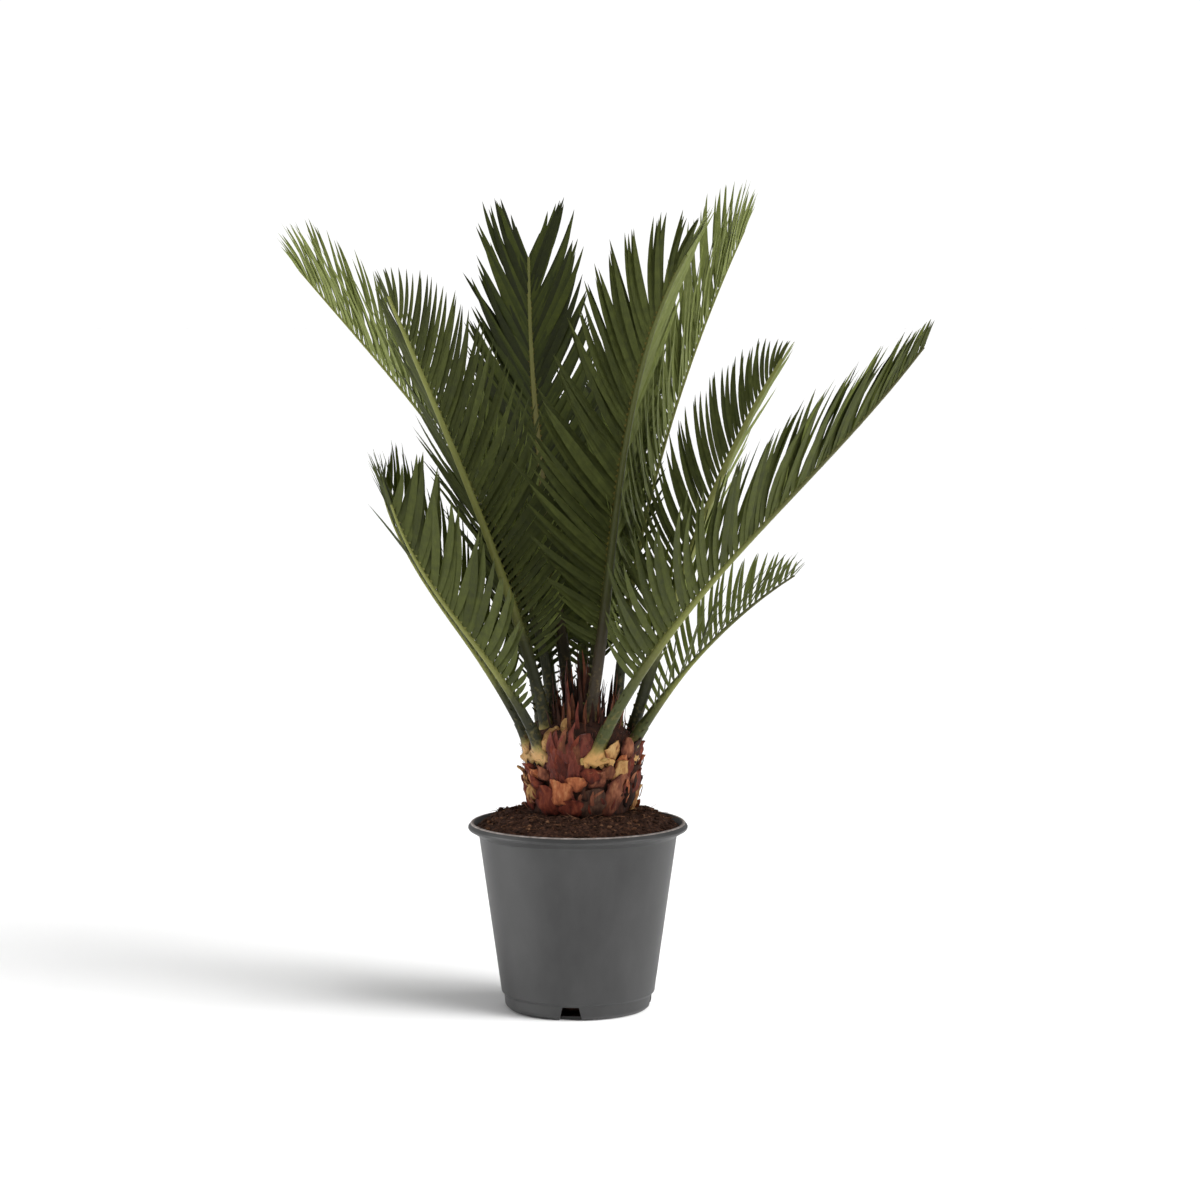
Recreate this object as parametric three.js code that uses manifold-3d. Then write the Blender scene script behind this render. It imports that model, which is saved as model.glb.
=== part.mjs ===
// A potted sago palm: round nursery pot, soil, stout scaly trunk and a crown of pinnate fronds.
// Millimetres, +Z up, +Y to the back. The origin is the middle of the pot's flat underside.

import * as THREE from "three";
import { mergeVertices } from "three/addons/utils/BufferGeometryUtils.js";
import Module from "manifold-3d";

const wasm = await Module();
wasm.setup();

// Clear space between neighbouring pieces.
const GAP = 0.3;

// Pot: a tapered plastic wall with a stepped foot. Its lip flares outward, crests and turns down to a
// thin outer edge.
const FOOT_RADIUS = 64;
const FOOT_HEIGHT = 14.5;
const BAND_RADIUS = 66.2;
const WALL_RADIUS_UNDER_LIP = 85.5;
const RIM_RADIUS = 95;
const RIM_HEIGHT = 162;
const LIP_HEIGHT = 11;
const LIP_CREST_RADIUS = 91;
const LIP_CREST_HALF_WIDTH = 0.8;
const LIP_EDGE_HEIGHT = 158;
const LIP_EDGE_THICKNESS = 1.6;
const FOOT_BEVEL = 1.5;
const WALL_THICKNESS = 1.8;
const FLOOR_THICKNESS = 2.5;
const POT_SEGMENTS = 40;

// Four drainage notches, cut through the foot of the wall.
const NOTCH_COUNT = 4;
const NOTCH_TURN = -95.4;
const NOTCH_TOP_WIDTH = 14;
const NOTCH_BOTTOM_WIDTH = 20;
const NOTCH_HEIGHT = 11.8;
const NOTCH_DEPTH = 9;

// Soil: fills the pot and is mounded up to the trunk.
const SOIL_EDGE_HEIGHT = 158.5;
const SOIL_MOUND_RADIUS = 54;
const SOIL_MOUND_HEIGHT = 172;
const SOIL_SLOPE_SHARE = 0.45;
const SOIL_CLEARANCE = 0.6;

// Trunk (caudex): a short barrel, cut flat where it stands in the soil, a little right of the pot's axis.
const TRUNK_SIDE = 3;
const TRUNK_FOOT_RADIUS = 45;
const TRUNK_BELLY_RADIUS = 49.5;
const TRUNK_SHOULDER_HEIGHT = 56;
const TRUNK_HEIGHT = 84;
const TRUNK_SEGMENTS = 20;
const TRUNK_BARREL_RINGS = 4;
const TRUNK_DOME_RINGS = 4;

// Old leaf bases, packed round the trunk in a golden-angle spiral.
const SCALE_COUNT = 32;
const SCALE_LOWEST = 14;
const SCALE_HIGHEST = 66;
const SCALE_HALF_WIDTH = 12;
const SCALE_HALF_HEIGHT = 13;
const SCALE_HALF_DEPTH = 5;
const SCALE_SINK = 2;
const SCALE_TAPER = 0.25;
const SCALE_LEAN = 14;
const GOLDEN_ANGLE = 137.508;

// Dry bud scales (cataphylls) that stand up in the middle of the crown.
const BUD_SCALE_COUNT = 12;
const BUD_SCALE_ROOT_HEIGHT = 66;
const BUD_SCALE_LENGTH = 66;
const BUD_SCALE_HALF_WIDTH = 4;
const BUD_SCALE_RING = 25;
const BUD_SCALE_LEAN = 12;
const BUD_SCALE_OUTER_SHARE = 0.75;

// Rings of frond seats on the crown, by radius from the trunk's axis and height above the soil.
const SEAT_RINGS = {
  outer: { radius: 42, height: 54 },
  middle: { radius: 30, height: 67 },
  inner: { radius: 16, height: 76 },
};

// Fronds, from the front right round by the back to the front left, and a last one at the back left.
// Lengths are millimetres and angles degrees. Seat and azimuth are turned from +X toward +Y, and sway
// turns the rib further by its tip. Lean is from upright, at the seat, as the middle control of a
// quadratic, and at the tip. Roll turns the blade about its rib, twist turns it further by the tip, and
// fold is how far each row of leaflets is raised from flat. Stout is the rib's thickness beside the
// common one. Leaflet is the longest leaflet, spread its angle to the rib at the tip and the foot, rise
// the part of the rib along which the leaflets lengthen, taper how late they shorten toward the tip,
// and closed where they begin to close along the rib.
const COMMON_SIZES = {
  leaflet: 105,
  spread: [20, 78],
  rise: [0.12, 0.38],
  taper: 1.6,
  closed: 1,
  twist: 0,
  stout: 1,
};
const FRONDS = [
  { ring: "outer", seat: -74, azimuth: -34, sway: 22, lean: [30, 55, 36], length: 455, roll: 10, fold: 40,
    leaflet: 118, spread: [20, 77], rise: [0.1, 0.27], stout: 0.8 },
  { ring: "outer", seat: -21, azimuth: 30, sway: 1, lean: [38, 50, 66], length: 225, roll: 0, fold: 55,
    leaflet: 64, spread: [32, 78], taper: 2.5, stout: 0.6 },
  { ring: "outer", seat: 18, azimuth: -37, sway: 3, lean: [20, 20, 37], length: 372, roll: -17, fold: 38,
    leaflet: 84, spread: [27, 72], taper: 2.5, closed: 0.92, stout: 1.1 },
  { ring: "middle", seat: 13, azimuth: 12, sway: 0, lean: [4, 17, 26], length: 448, roll: 4, fold: 42,
    spread: [25, 80], taper: 6, closed: 0.93, stout: 0.5 },
  { ring: "inner", seat: -70, azimuth: -50, sway: 0, lean: [15, -4, 45], length: 424, roll: 8, fold: 25,
    leaflet: 118, spread: [26, 78], taper: 4, closed: 0.79 },
  { ring: "middle", seat: 78, azimuth: 68, sway: 0, lean: [11, 26, 48], length: 330, roll: 0, fold: 30,
    leaflet: 86, taper: 1.4, stout: 0.8 },
  { ring: "outer", seat: 90, azimuth: 88, sway: 0, lean: [28, 48, 66], length: 430, roll: 0, fold: 25,
    stout: 0.8 },
  { ring: "outer", seat: 122, azimuth: 104, sway: 0, lean: [22, 36, 54], length: 410, roll: 0, fold: 25,
    stout: 0.8 },
  { ring: "inner", seat: 122, azimuth: 109, sway: -18, lean: [20, 46, 24], length: 462, roll: 0, fold: 20,
    leaflet: 114, taper: 9, stout: 1.2 },
  { ring: "middle", seat: 149, azimuth: 175, sway: 0, lean: [3, 48, 40], length: 464, roll: -4, fold: 44,
    spread: [27, 80], taper: 6, closed: 0.93, stout: 0.5 },
  { ring: "middle", seat: 204, azimuth: 205, sway: 0, lean: [15, 26, 24], length: 403, roll: 33, fold: 32,
    leaflet: 112, spread: [30, 80], taper: 2.2, closed: 0.9, twist: -14 },
  { ring: "outer", seat: 185, azimuth: 170, sway: 0, lean: [26, 54, 10], length: 262, roll: -10, fold: 34,
    leaflet: 104, spread: [22, 78], taper: 3, stout: 0.6 },
  { ring: "outer", seat: 218, azimuth: 217, sway: 1, lean: [28, 60, 17], length: 268, roll: -30, fold: 36,
    leaflet: 102, spread: [30, 76], rise: [0.2, 0.42], taper: 4, twist: 40, stout: 0.7 },
  { ring: "outer", seat: 140, azimuth: 131, sway: 0, lean: [13, 24, 46], length: 325, roll: 0, fold: 25,
    leaflet: 84, taper: 1.4, stout: 0.8 },
].map((frond) => ({ ...COMMON_SIZES, ...frond }));

// Rib of a frond: four-sided, tapering from the swollen stalk to the tip.
const RIB_STEPS = 12;
const RIB_SIDES = 4;
const RIB_SEAT_RADIUS = 5.4;
const RIB_MIDDLE_RADIUS = 4.8;
const RIB_TIP_RADIUS = 1.5;
const STALK_SHARE = 0.45;

// Leaflets: two rows, each leaflet a thin blade fused to the rib by its root. They are short near the
// bare stalk, longest along the middle, and shorten again toward the tip.
const LEAFLET_PAIRS_PER_METRE = 54;
const LEAFLET_START = 0.16;
const LEAFLET_FIRST_SHARE = 0.25;
const LEAFLET_FALL = { from: 0.55, share: 0.22 };
const LEAFLET_CLOSED_SHARE = 0.2;
const LEAFLET_WIDTH_SHARE = 0.075;
const LEAFLET_THICKNESS_SHARE = 0.016;
const LEAFLET_WIDEST_AT = 0.35;
const LEAFLET_ANGLE_POWER = 1.8;
const LEAFLET_ROOT_SINK = 1;
const LEAFLET_SIDE_ROOM = 0.6;
const LEAFLET_END_ROOM = 1.2;
const SHORTER_TRIES = [1, 0.8, 0.6];

const LEAF_GREEN = 0x46542a;
const POT_GREY = 0x666a6c;
const SOIL_BROWN = 0x3a241b;
const TRUNK_BROWN = 0x8a4a30;

const { degToRad, lerp, smoothstep } = THREE.MathUtils;

/** Turns a closed three.js geometry into a solid that can be joined and cut. */
function solidOf(geometry) {
  geometry.deleteAttribute("normal");
  geometry.deleteAttribute("uv");
  const merged = mergeVertices(geometry);
  const triVerts = Uint32Array.from(merged.index.array);
  const vertProperties = merged.attributes.position.array;
  return new wasm.Manifold(new wasm.Mesh({ numProp: 3, vertProperties, triVerts }));
}

/** Turns a joined or cut solid back into a three.js geometry. */
function geometryOf(solid) {
  const mesh = solid.getMesh();
  const geometry = new THREE.BufferGeometry();
  geometry.setAttribute("position", new THREE.BufferAttribute(mesh.vertProperties, mesh.numProp));
  geometry.setIndex(new THREE.BufferAttribute(mesh.triVerts, 1));
  geometry.computeVertexNormals();
  return geometry;
}

function named(name, geometry, material) {
  const mesh = new THREE.Mesh(geometry, material);
  mesh.name = name;
  return mesh;
}

function matte(color, roughness) {
  return new THREE.MeshStandardMaterial({ color, roughness, metalness: 0 });
}

/** A solid of revolution about Z from a profile of [radius, height] pairs. */
function turned(profile, segments) {
  const points = profile.map(([radius, height]) => new THREE.Vector2(radius, height));
  return new THREE.LatheGeometry(points, segments).rotateX(Math.PI / 2);
}

/** The radius of the pot's outer wall at a height, between the band and the lip. */
function wallRadius(height) {
  const share = (height - FOOT_HEIGHT) / (RIM_HEIGHT - LIP_HEIGHT - FOOT_HEIGHT);
  return lerp(BAND_RADIUS, WALL_RADIUS_UNDER_LIP, share);
}

/** The radius of the pot's inner wall at a height, which flares along the inside of the lip. */
function innerRadius(height) {
  const lipBottom = RIM_HEIGHT - LIP_HEIGHT;
  const flare = Math.max(0, (height - lipBottom) / LIP_HEIGHT);
  const below = wallRadius(Math.min(height, lipBottom)) - WALL_THICKNESS;
  return lerp(below, LIP_CREST_RADIUS - LIP_CREST_HALF_WIDTH, flare);
}

/** One drainage notch: a trapezium through the foot of the wall, at a turn about Z. */
function notch(turn) {
  const outline = new THREE.Shape([
    new THREE.Vector2(-NOTCH_BOTTOM_WIDTH / 2, -1),
    new THREE.Vector2(NOTCH_BOTTOM_WIDTH / 2, -1),
    new THREE.Vector2(NOTCH_TOP_WIDTH / 2, NOTCH_HEIGHT),
    new THREE.Vector2(-NOTCH_TOP_WIDTH / 2, NOTCH_HEIGHT),
  ]);
  const geometry = new THREE.ExtrudeGeometry(outline, { depth: 2 * NOTCH_DEPTH, bevelEnabled: false });
  geometry.rotateX(Math.PI / 2);
  geometry.translate(0, -(FOOT_RADIUS - NOTCH_DEPTH), 0);
  geometry.rotateZ(degToRad(turn + 90));
  return solidOf(geometry);
}

function makePot() {
  const lipBottom = RIM_HEIGHT - LIP_HEIGHT;
  const profile = [
    [0, 0],
    [FOOT_RADIUS - FOOT_BEVEL, 0],
    [FOOT_RADIUS, FOOT_BEVEL],
    [FOOT_RADIUS, FOOT_HEIGHT - FOOT_BEVEL],
    [BAND_RADIUS, FOOT_HEIGHT],
    [WALL_RADIUS_UNDER_LIP, lipBottom],
    [RIM_RADIUS, LIP_EDGE_HEIGHT - LIP_EDGE_THICKNESS],
    [RIM_RADIUS, LIP_EDGE_HEIGHT],
    [LIP_CREST_RADIUS + LIP_CREST_HALF_WIDTH, RIM_HEIGHT],
    [LIP_CREST_RADIUS - LIP_CREST_HALF_WIDTH, RIM_HEIGHT],
    [innerRadius(lipBottom), lipBottom],
    [FOOT_RADIUS - WALL_THICKNESS, FOOT_HEIGHT],
    [FOOT_RADIUS - WALL_THICKNESS, FLOOR_THICKNESS],
    [0, FLOOR_THICKNESS],
  ];
  let pot = solidOf(turned(profile, POT_SEGMENTS));
  for (let index = 0; index < NOTCH_COUNT; index += 1) {
    pot = pot.subtract(notch(NOTCH_TURN + (360 / NOTCH_COUNT) * index));
  }
  return named("pot", geometryOf(pot), matte(POT_GREY, 0.5));
}

function makeSoil() {
  const lipBottom = RIM_HEIGHT - LIP_HEIGHT;
  const slopeMiddle = (SOIL_MOUND_RADIUS + innerRadius(SOIL_EDGE_HEIGHT)) / 2;
  const profile = [
    [0, FLOOR_THICKNESS + GAP],
    [FOOT_RADIUS - WALL_THICKNESS - SOIL_CLEARANCE, FLOOR_THICKNESS + GAP],
    [FOOT_RADIUS - WALL_THICKNESS - SOIL_CLEARANCE, FOOT_HEIGHT],
    [innerRadius(lipBottom) - SOIL_CLEARANCE, lipBottom],
    [innerRadius(SOIL_EDGE_HEIGHT) - SOIL_CLEARANCE, SOIL_EDGE_HEIGHT],
    [slopeMiddle, lerp(SOIL_EDGE_HEIGHT, SOIL_MOUND_HEIGHT, SOIL_SLOPE_SHARE)],
    [SOIL_MOUND_RADIUS, SOIL_MOUND_HEIGHT],
    [0, SOIL_MOUND_HEIGHT],
  ];
  return named("soil", turned(profile, POT_SEGMENTS), matte(SOIL_BROWN, 0.95));
}

/** The trunk core's radius at a height above the soil. */
function trunkRadius(height) {
  if (height <= TRUNK_SHOULDER_HEIGHT) {
    const share = Math.sin((Math.PI / 2) * (height / TRUNK_SHOULDER_HEIGHT));
    return lerp(TRUNK_FOOT_RADIUS, TRUNK_BELLY_RADIUS, share);
  }
  const rise = (height - TRUNK_SHOULDER_HEIGHT) / (TRUNK_HEIGHT - TRUNK_SHOULDER_HEIGHT);
  return TRUNK_BELLY_RADIUS * Math.sqrt(1 - rise ** 2);
}

/** The rib's radius at a share of its length. */
function ribRadius(frond, share) {
  const stalk = 1 - smoothstep(share, 0, STALK_SHARE);
  return lerp(lerp(RIB_MIDDLE_RADIUS, RIB_TIP_RADIUS, share) * frond.stout, RIB_SEAT_RADIUS, stalk);
}

/** A quadratic Bezier value between three controls. */
function quadratic([start, middle, end], share) {
  return lerp(lerp(start, middle, share), lerp(middle, end, share), share);
}

/** Stations along a frond's rib: where it is, and its own directions, rolled about the rib. */
function growRib(frond) {
  const seat = SEAT_RINGS[frond.ring];
  const seatTurn = degToRad(frond.seat);
  const point = new THREE.Vector3(Math.cos(seatTurn), Math.sin(seatTurn), 0);
  point.multiplyScalar(seat.radius).setZ(seat.height);
  const stations = [];
  for (let step = 0; step <= RIB_STEPS; step += 1) {
    const share = step / RIB_STEPS;
    const turn = degToRad(frond.azimuth + frond.sway * share);
    const lean = degToRad(quadratic(frond.lean, share));
    const outward = new THREE.Vector3(Math.cos(turn), Math.sin(turn), 0);
    const along = outward.clone().multiplyScalar(Math.sin(lean)).setZ(Math.cos(lean));
    const inner = outward.clone().multiplyScalar(-Math.cos(lean)).setZ(Math.sin(lean));
    inner.applyAxisAngle(along, degToRad(frond.roll + frond.twist * share));
    const across = along.clone().cross(inner);
    stations.push({ point: point.clone(), along, inner, across, radius: ribRadius(frond, share) });
    point.addScaledVector(along, frond.length / RIB_STEPS);
  }
  return stations;
}

/** The station at any share of a rib, between the two nearest. */
function stationAt(stations, share) {
  const place = Math.min(share * RIB_STEPS, RIB_STEPS - 1e-6);
  const before = stations[Math.floor(place)];
  const after = stations[Math.floor(place) + 1];
  const part = place - Math.floor(place);
  const between = (key) => before[key].clone().lerp(after[key], part);
  return {
    point: between("point"),
    along: between("along").normalize(),
    inner: between("inner").normalize(),
    across: between("across").normalize(),
  };
}

/** A rib as a bent, tapered bar. Extra radius makes the space that a socket for it takes. */
function ribGeometry(stations, extra) {
  const geometry = new THREE.CylinderGeometry(1, 1, 1, RIB_SIDES, RIB_STEPS);
  const position = geometry.attributes.position;
  const corner = new THREE.Vector3();
  for (let index = 0; index < position.count; index += 1) {
    corner.fromBufferAttribute(position, index);
    const step = Math.round((corner.y + 0.5) * RIB_STEPS);
    const { point, along, inner, across, radius } = stations[step];
    const place = point.clone().addScaledVector(across, corner.x * (radius + extra));
    place.addScaledVector(inner, corner.z * (radius + extra));
    if (step === 0) {
      place.addScaledVector(along, -extra);
    }
    position.setXYZ(index, place.x, place.y, place.z);
  }
  return geometry;
}

/** A thin pointed blade from a root along a direction: a stretched octahedron. */
function bladeGeometry({ root, along, across, length, halfWidth, halfThickness }) {
  const through = across.clone().cross(along);
  const geometry = new THREE.OctahedronGeometry(1);
  const position = geometry.attributes.position;
  const corner = new THREE.Vector3();
  const reach = { "-1": 0, "0": LEAFLET_WIDEST_AT, "1": 1 };
  for (let index = 0; index < position.count; index += 1) {
    corner.fromBufferAttribute(position, index).round();
    const place = root.clone().addScaledVector(along, reach[String(corner.y + 0)] * length);
    place.addScaledVector(across, corner.x * halfWidth);
    place.addScaledVector(through, corner.z * halfThickness);
    position.setXYZ(index, place.x, place.y, place.z);
  }
  return geometry;
}

/** A leaflet's length at a share of the rib. */
function leafletLength(frond, share) {
  const rise = lerp(LEAFLET_FIRST_SHARE, 1, smoothstep(share, frond.rise[0], frond.rise[1]));
  const past = Math.max(0, (share - LEAFLET_FALL.from) / (1 - LEAFLET_FALL.from));
  const fall = lerp(1, LEAFLET_FALL.share, past ** frond.taper);
  return frond.leaflet * rise * fall;
}

/** A leaflet's angle to the rib, in degrees, at a share of the rib. */
function leafletAngle(frond, share) {
  const angle = lerp(frond.spread[0], frond.spread[1], (1 - share) ** LEAFLET_ANGLE_POWER);
  const closing = smoothstep(share, frond.closed, 1);
  return angle * lerp(1, LEAFLET_CLOSED_SHARE, closing);
}

/** The blade of one leaflet: its place on the rib, its angle to it and its size. */
function leafletBlade(frond, stations, share, side) {
  const { point, along, inner, across } = stationAt(stations, share);
  const fold = degToRad(frond.fold);
  const angle = degToRad(leafletAngle(frond, share));
  const outward = across.clone().multiplyScalar(side * Math.cos(fold));
  outward.addScaledVector(inner, Math.sin(fold));
  const direction = along.clone().multiplyScalar(Math.cos(angle));
  direction.addScaledVector(outward, Math.sin(angle));
  const width = along.clone().multiplyScalar(Math.sin(angle));
  width.addScaledVector(outward, -Math.cos(angle));
  const length = leafletLength(frond, share);
  return {
    root: point.clone().addScaledVector(direction, -LEAFLET_ROOT_SINK),
    along: direction,
    across: width,
    length: length + LEAFLET_ROOT_SINK,
    halfWidth: (length * LEAFLET_WIDTH_SHARE) / 2,
    halfThickness: (length * LEAFLET_THICKNESS_SHARE) / 2,
  };
}

/** The same blade, shorter. */
function shortened(blade, share) {
  return { ...blade, length: blade.length * share };
}

/** The same blade with clear space round it. */
function withRoom(blade) {
  return {
    ...blade,
    length: blade.length + LEAFLET_END_ROOM,
    halfWidth: blade.halfWidth + LEAFLET_SIDE_ROOM,
    halfThickness: blade.halfThickness + LEAFLET_SIDE_ROOM,
  };
}

/** A solid with its bounding box, so that far ones are passed over quickly. */
function piece(geometry, owner) {
  const box = new THREE.Box3().setFromBufferAttribute(geometry.attributes.position);
  return { owner, box, solid: solidOf(geometry) };
}

function touches(candidate, others) {
  return others.some((other) => other.owner !== candidate.owner
    && other.box.intersectsBox(candidate.box)
    && !other.solid.intersect(candidate.solid).isEmpty());
}

/** Leaflets of one frond that keep clear of every other piece; they are added to the pieces. */
function growLeaflets(frond, owner, stations, pieces) {
  const pairs = Math.round((LEAFLET_PAIRS_PER_METRE * frond.length * (1 - LEAFLET_START)) / 1000);
  for (let pair = 0; pair < pairs; pair += 1) {
    for (const side of [-1, 1]) {
      const share = lerp(LEAFLET_START, 1, (pair + 0.75 + 0.25 * side) / pairs);
      const blade = leafletBlade(frond, stations, share, side);
      const fit = SHORTER_TRIES.map((part) => shortened(blade, part))
        .find((shorter) => !touches(piece(bladeGeometry(withRoom(shorter)), owner), pieces));
      if (fit) {
        pieces.push(piece(bladeGeometry(fit), owner));
      }
    }
  }
}

/** The trunk core, closed by the crown's dome. */
function trunkCore() {
  const profile = [[0, GAP]];
  for (let ring = 0; ring < TRUNK_BARREL_RINGS; ring += 1) {
    const height = lerp(GAP, TRUNK_SHOULDER_HEIGHT, ring / TRUNK_BARREL_RINGS);
    profile.push([trunkRadius(height), height]);
  }
  for (let ring = 0; ring < TRUNK_DOME_RINGS; ring += 1) {
    const rise = Math.sin((Math.PI / 2) * (ring / TRUNK_DOME_RINGS));
    const height = lerp(TRUNK_SHOULDER_HEIGHT, TRUNK_HEIGHT, rise);
    profile.push([trunkRadius(height), height]);
  }
  profile.push([0, TRUNK_HEIGHT]);
  return solidOf(turned(profile, TRUNK_SEGMENTS));
}

/** One old leaf base, leaning out from the trunk at its upper end. */
function trunkScale(index) {
  const share = index / (SCALE_COUNT - 1);
  const height = lerp(SCALE_LOWEST, SCALE_HIGHEST, share);
  const taper = 1 - SCALE_TAPER * share;
  const geometry = new THREE.OctahedronGeometry(1);
  geometry.scale(SCALE_HALF_DEPTH, SCALE_HALF_WIDTH * taper, SCALE_HALF_HEIGHT * taper);
  geometry.rotateY(degToRad(SCALE_LEAN));
  geometry.translate(trunkRadius(height) - SCALE_SINK, 0, height);
  geometry.rotateZ(degToRad(index * GOLDEN_ANGLE));
  return solidOf(geometry);
}

/** One dry bud scale in the middle of the crown. */
function budScale(index) {
  const turn = degToRad(index * GOLDEN_ANGLE);
  const ring = BUD_SCALE_RING * Math.sqrt((index + 0.5) / BUD_SCALE_COUNT);
  const lean = degToRad(BUD_SCALE_LEAN * (ring / BUD_SCALE_RING));
  const outward = new THREE.Vector3(Math.cos(turn), Math.sin(turn), 0);
  return {
    root: outward.clone().multiplyScalar(ring).setZ(BUD_SCALE_ROOT_HEIGHT),
    along: outward.clone().multiplyScalar(Math.sin(lean)).setZ(Math.cos(lean)),
    across: new THREE.Vector3(-Math.sin(turn), Math.cos(turn), 0),
    length: BUD_SCALE_LENGTH * lerp(1, BUD_SCALE_OUTER_SHARE, ring / BUD_SCALE_RING),
    halfWidth: BUD_SCALE_HALF_WIDTH,
    halfThickness: BUD_SCALE_HALF_WIDTH / 2,
  };
}

/** The trunk with its scales, cut away round each frond's stalk. */
function makeTrunk(ribs, ribPieces) {
  let trunk = trunkCore();
  for (let index = 0; index < SCALE_COUNT; index += 1) {
    trunk = trunk.add(trunkScale(index));
  }
  for (let index = 0; index < BUD_SCALE_COUNT; index += 1) {
    const blade = budScale(index);
    if (!touches(piece(bladeGeometry(withRoom(blade)), "trunk"), ribPieces)) {
      trunk = trunk.add(solidOf(bladeGeometry(blade)));
    }
  }
  for (const stations of ribs) {
    trunk = trunk.subtract(solidOf(ribGeometry(stations, GAP * Math.SQRT2)));
  }
  return trunk;
}

const palm = new THREE.Group();
palm.add(makePot());
palm.add(makeSoil());

// The plant stands on the mound, beside the pot's axis.
const plant = new THREE.Group();
plant.position.set(TRUNK_SIDE, 0, SOIL_MOUND_HEIGHT);
palm.add(plant);

const ribs = FRONDS.map(growRib);
const pieces = ribs.map((stations, index) => piece(ribGeometry(stations, 0), index));
const trunk = makeTrunk(ribs, pieces);
plant.add(named("caudex", geometryOf(trunk), matte(TRUNK_BROWN, 0.9)));

const trunkBox = new THREE.Box3().setFromBufferAttribute(geometryOf(trunk).attributes.position);
pieces.push({ owner: "trunk", box: trunkBox, solid: trunk });
FRONDS.forEach((frond, index) => growLeaflets(frond, index, ribs[index], pieces));

FRONDS.forEach((frond, index) => {
  const own = pieces.filter((part) => part.owner === index).map((part) => part.solid);
  const blade = own.reduce((joined, leaflet) => joined.add(leaflet));
  const name = `frond_${String(index + 1).padStart(2, "0")}`;
  plant.add(named(name, geometryOf(blade), matte(LEAF_GREEN, 0.6)));
});

export default palm;
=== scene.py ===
"""A potted sago palm: pot, soil, scaly trunk and feathery fronds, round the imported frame.

The frame is in metres, +Z up, and the camera looks along +Y. Sizes here are millimetres and
degrees, as in the part's source, and become metres when a mesh is made.
"""

import math
import random

import bmesh
import bpy
import numpy as np
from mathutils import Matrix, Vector, noise


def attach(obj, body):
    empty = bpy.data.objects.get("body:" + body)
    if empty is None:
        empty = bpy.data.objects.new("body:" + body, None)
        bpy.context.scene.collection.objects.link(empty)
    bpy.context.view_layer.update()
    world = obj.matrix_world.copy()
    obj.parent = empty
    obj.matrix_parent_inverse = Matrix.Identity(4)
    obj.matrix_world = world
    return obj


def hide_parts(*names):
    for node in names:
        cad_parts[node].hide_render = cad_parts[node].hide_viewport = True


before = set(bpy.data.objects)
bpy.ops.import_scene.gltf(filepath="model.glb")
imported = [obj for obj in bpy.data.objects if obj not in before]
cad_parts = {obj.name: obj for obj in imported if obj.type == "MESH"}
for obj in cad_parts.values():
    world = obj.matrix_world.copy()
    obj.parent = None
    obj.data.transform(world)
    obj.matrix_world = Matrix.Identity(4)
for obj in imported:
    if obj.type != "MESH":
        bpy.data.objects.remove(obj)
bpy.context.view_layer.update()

MM = 0.001
UP = np.array([0.0, 0.0, 1.0])

# ---- sizes shared with the solids

FOOT_RADIUS = 64
FOOT_HEIGHT = 14.5
BAND_RADIUS = 66.2
WALL_RADIUS_UNDER_LIP = 85.5
RIM_RADIUS = 95
RIM_HEIGHT = 162
LIP_HEIGHT = 11
LIP_CREST_RADIUS = 91
LIP_EDGE_HEIGHT = 158
WALL_THICKNESS = 1.8
FLOOR_THICKNESS = 2.5
NOTCH_COUNT = 4
NOTCH_TURN = -95.4
NOTCH_TOP_WIDTH = 14
NOTCH_BOTTOM_WIDTH = 20
NOTCH_HEIGHT = 11.8
NOTCH_DEPTH = 9

SOIL_EDGE_HEIGHT = 158.5
SOIL_EDGE_RADIUS = 87.4
SOIL_MOUND_RADIUS = 54
SOIL_MOUND_HEIGHT = 172

TRUNK_SIDE = 3
TRUNK_FOOT = np.array([TRUNK_SIDE, 0.0, SOIL_MOUND_HEIGHT])
TRUNK_FOOT_RADIUS = 45
TRUNK_BELLY_RADIUS = 49.5
TRUNK_SHOULDER_HEIGHT = 56
TRUNK_HEIGHT = 84
GOLDEN_ANGLE = 137.508

# The radius and height, above the soil, of the three rings of seats on the trunk.
SEAT_RINGS = {"outer": (42, 54), "middle": (30, 67), "inner": (16, 76)}

RIB_STEPS = 12
RIB_SEAT_RADIUS = 5.4
RIB_MIDDLE_RADIUS = 4.8
RIB_TIP_RADIUS = 1.5
RIB_STALK_SHARE = 0.45
LEAFLET_START = 0.16
LEAFLET_FIRST_SHARE = 0.25
LEAFLET_FALL = (0.55, 0.22)
LEAFLET_ANGLE_POWER = 1.8
LEAFLET_CLOSED_SHARE = 0.2
COMMON_LEAFLET = 105


def frond(ring, seat, azimuth, sway, lean, length, roll, fold, **more):
    """One frond: the same named sizes as in the part's source, and how it is dressed.

    upper and under name deals of greens, where a pair runs from the foot to the tip, darker to
    lighter, as painted light on a shaded foot and a lit tip; under has one deal for both sides or
    one for each. base and half_width are half widths of the stalk's foot and of a leaflet, and
    pairs is the leaflet pairs in a metre of rib. bow is how far the leaflets bend, and clump how
    strongly they lean together in small groups.
    """
    sizes = {"leaflet": COMMON_LEAFLET, "spread": (20, 78), "taper": 1.6, "stout": 1.0,
             "rise": (0.12, 0.38), "closed": 1.0, "twist": 0, "upper": "dark", "under": "dull",
             "rib": "yellow", "base": 9, "half_width": 3.3, "pairs": 145, "clump": 0.15,
             "bow": 0.028}
    sizes.update(ring=ring, seat=seat, azimuth=azimuth, sway=sway, lean=lean, length=length,
                 roll=roll, fold=fold, **more)
    if isinstance(sizes["under"], str):
        sizes["under"] = (sizes["under"], sizes["under"])
    return sizes


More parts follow.
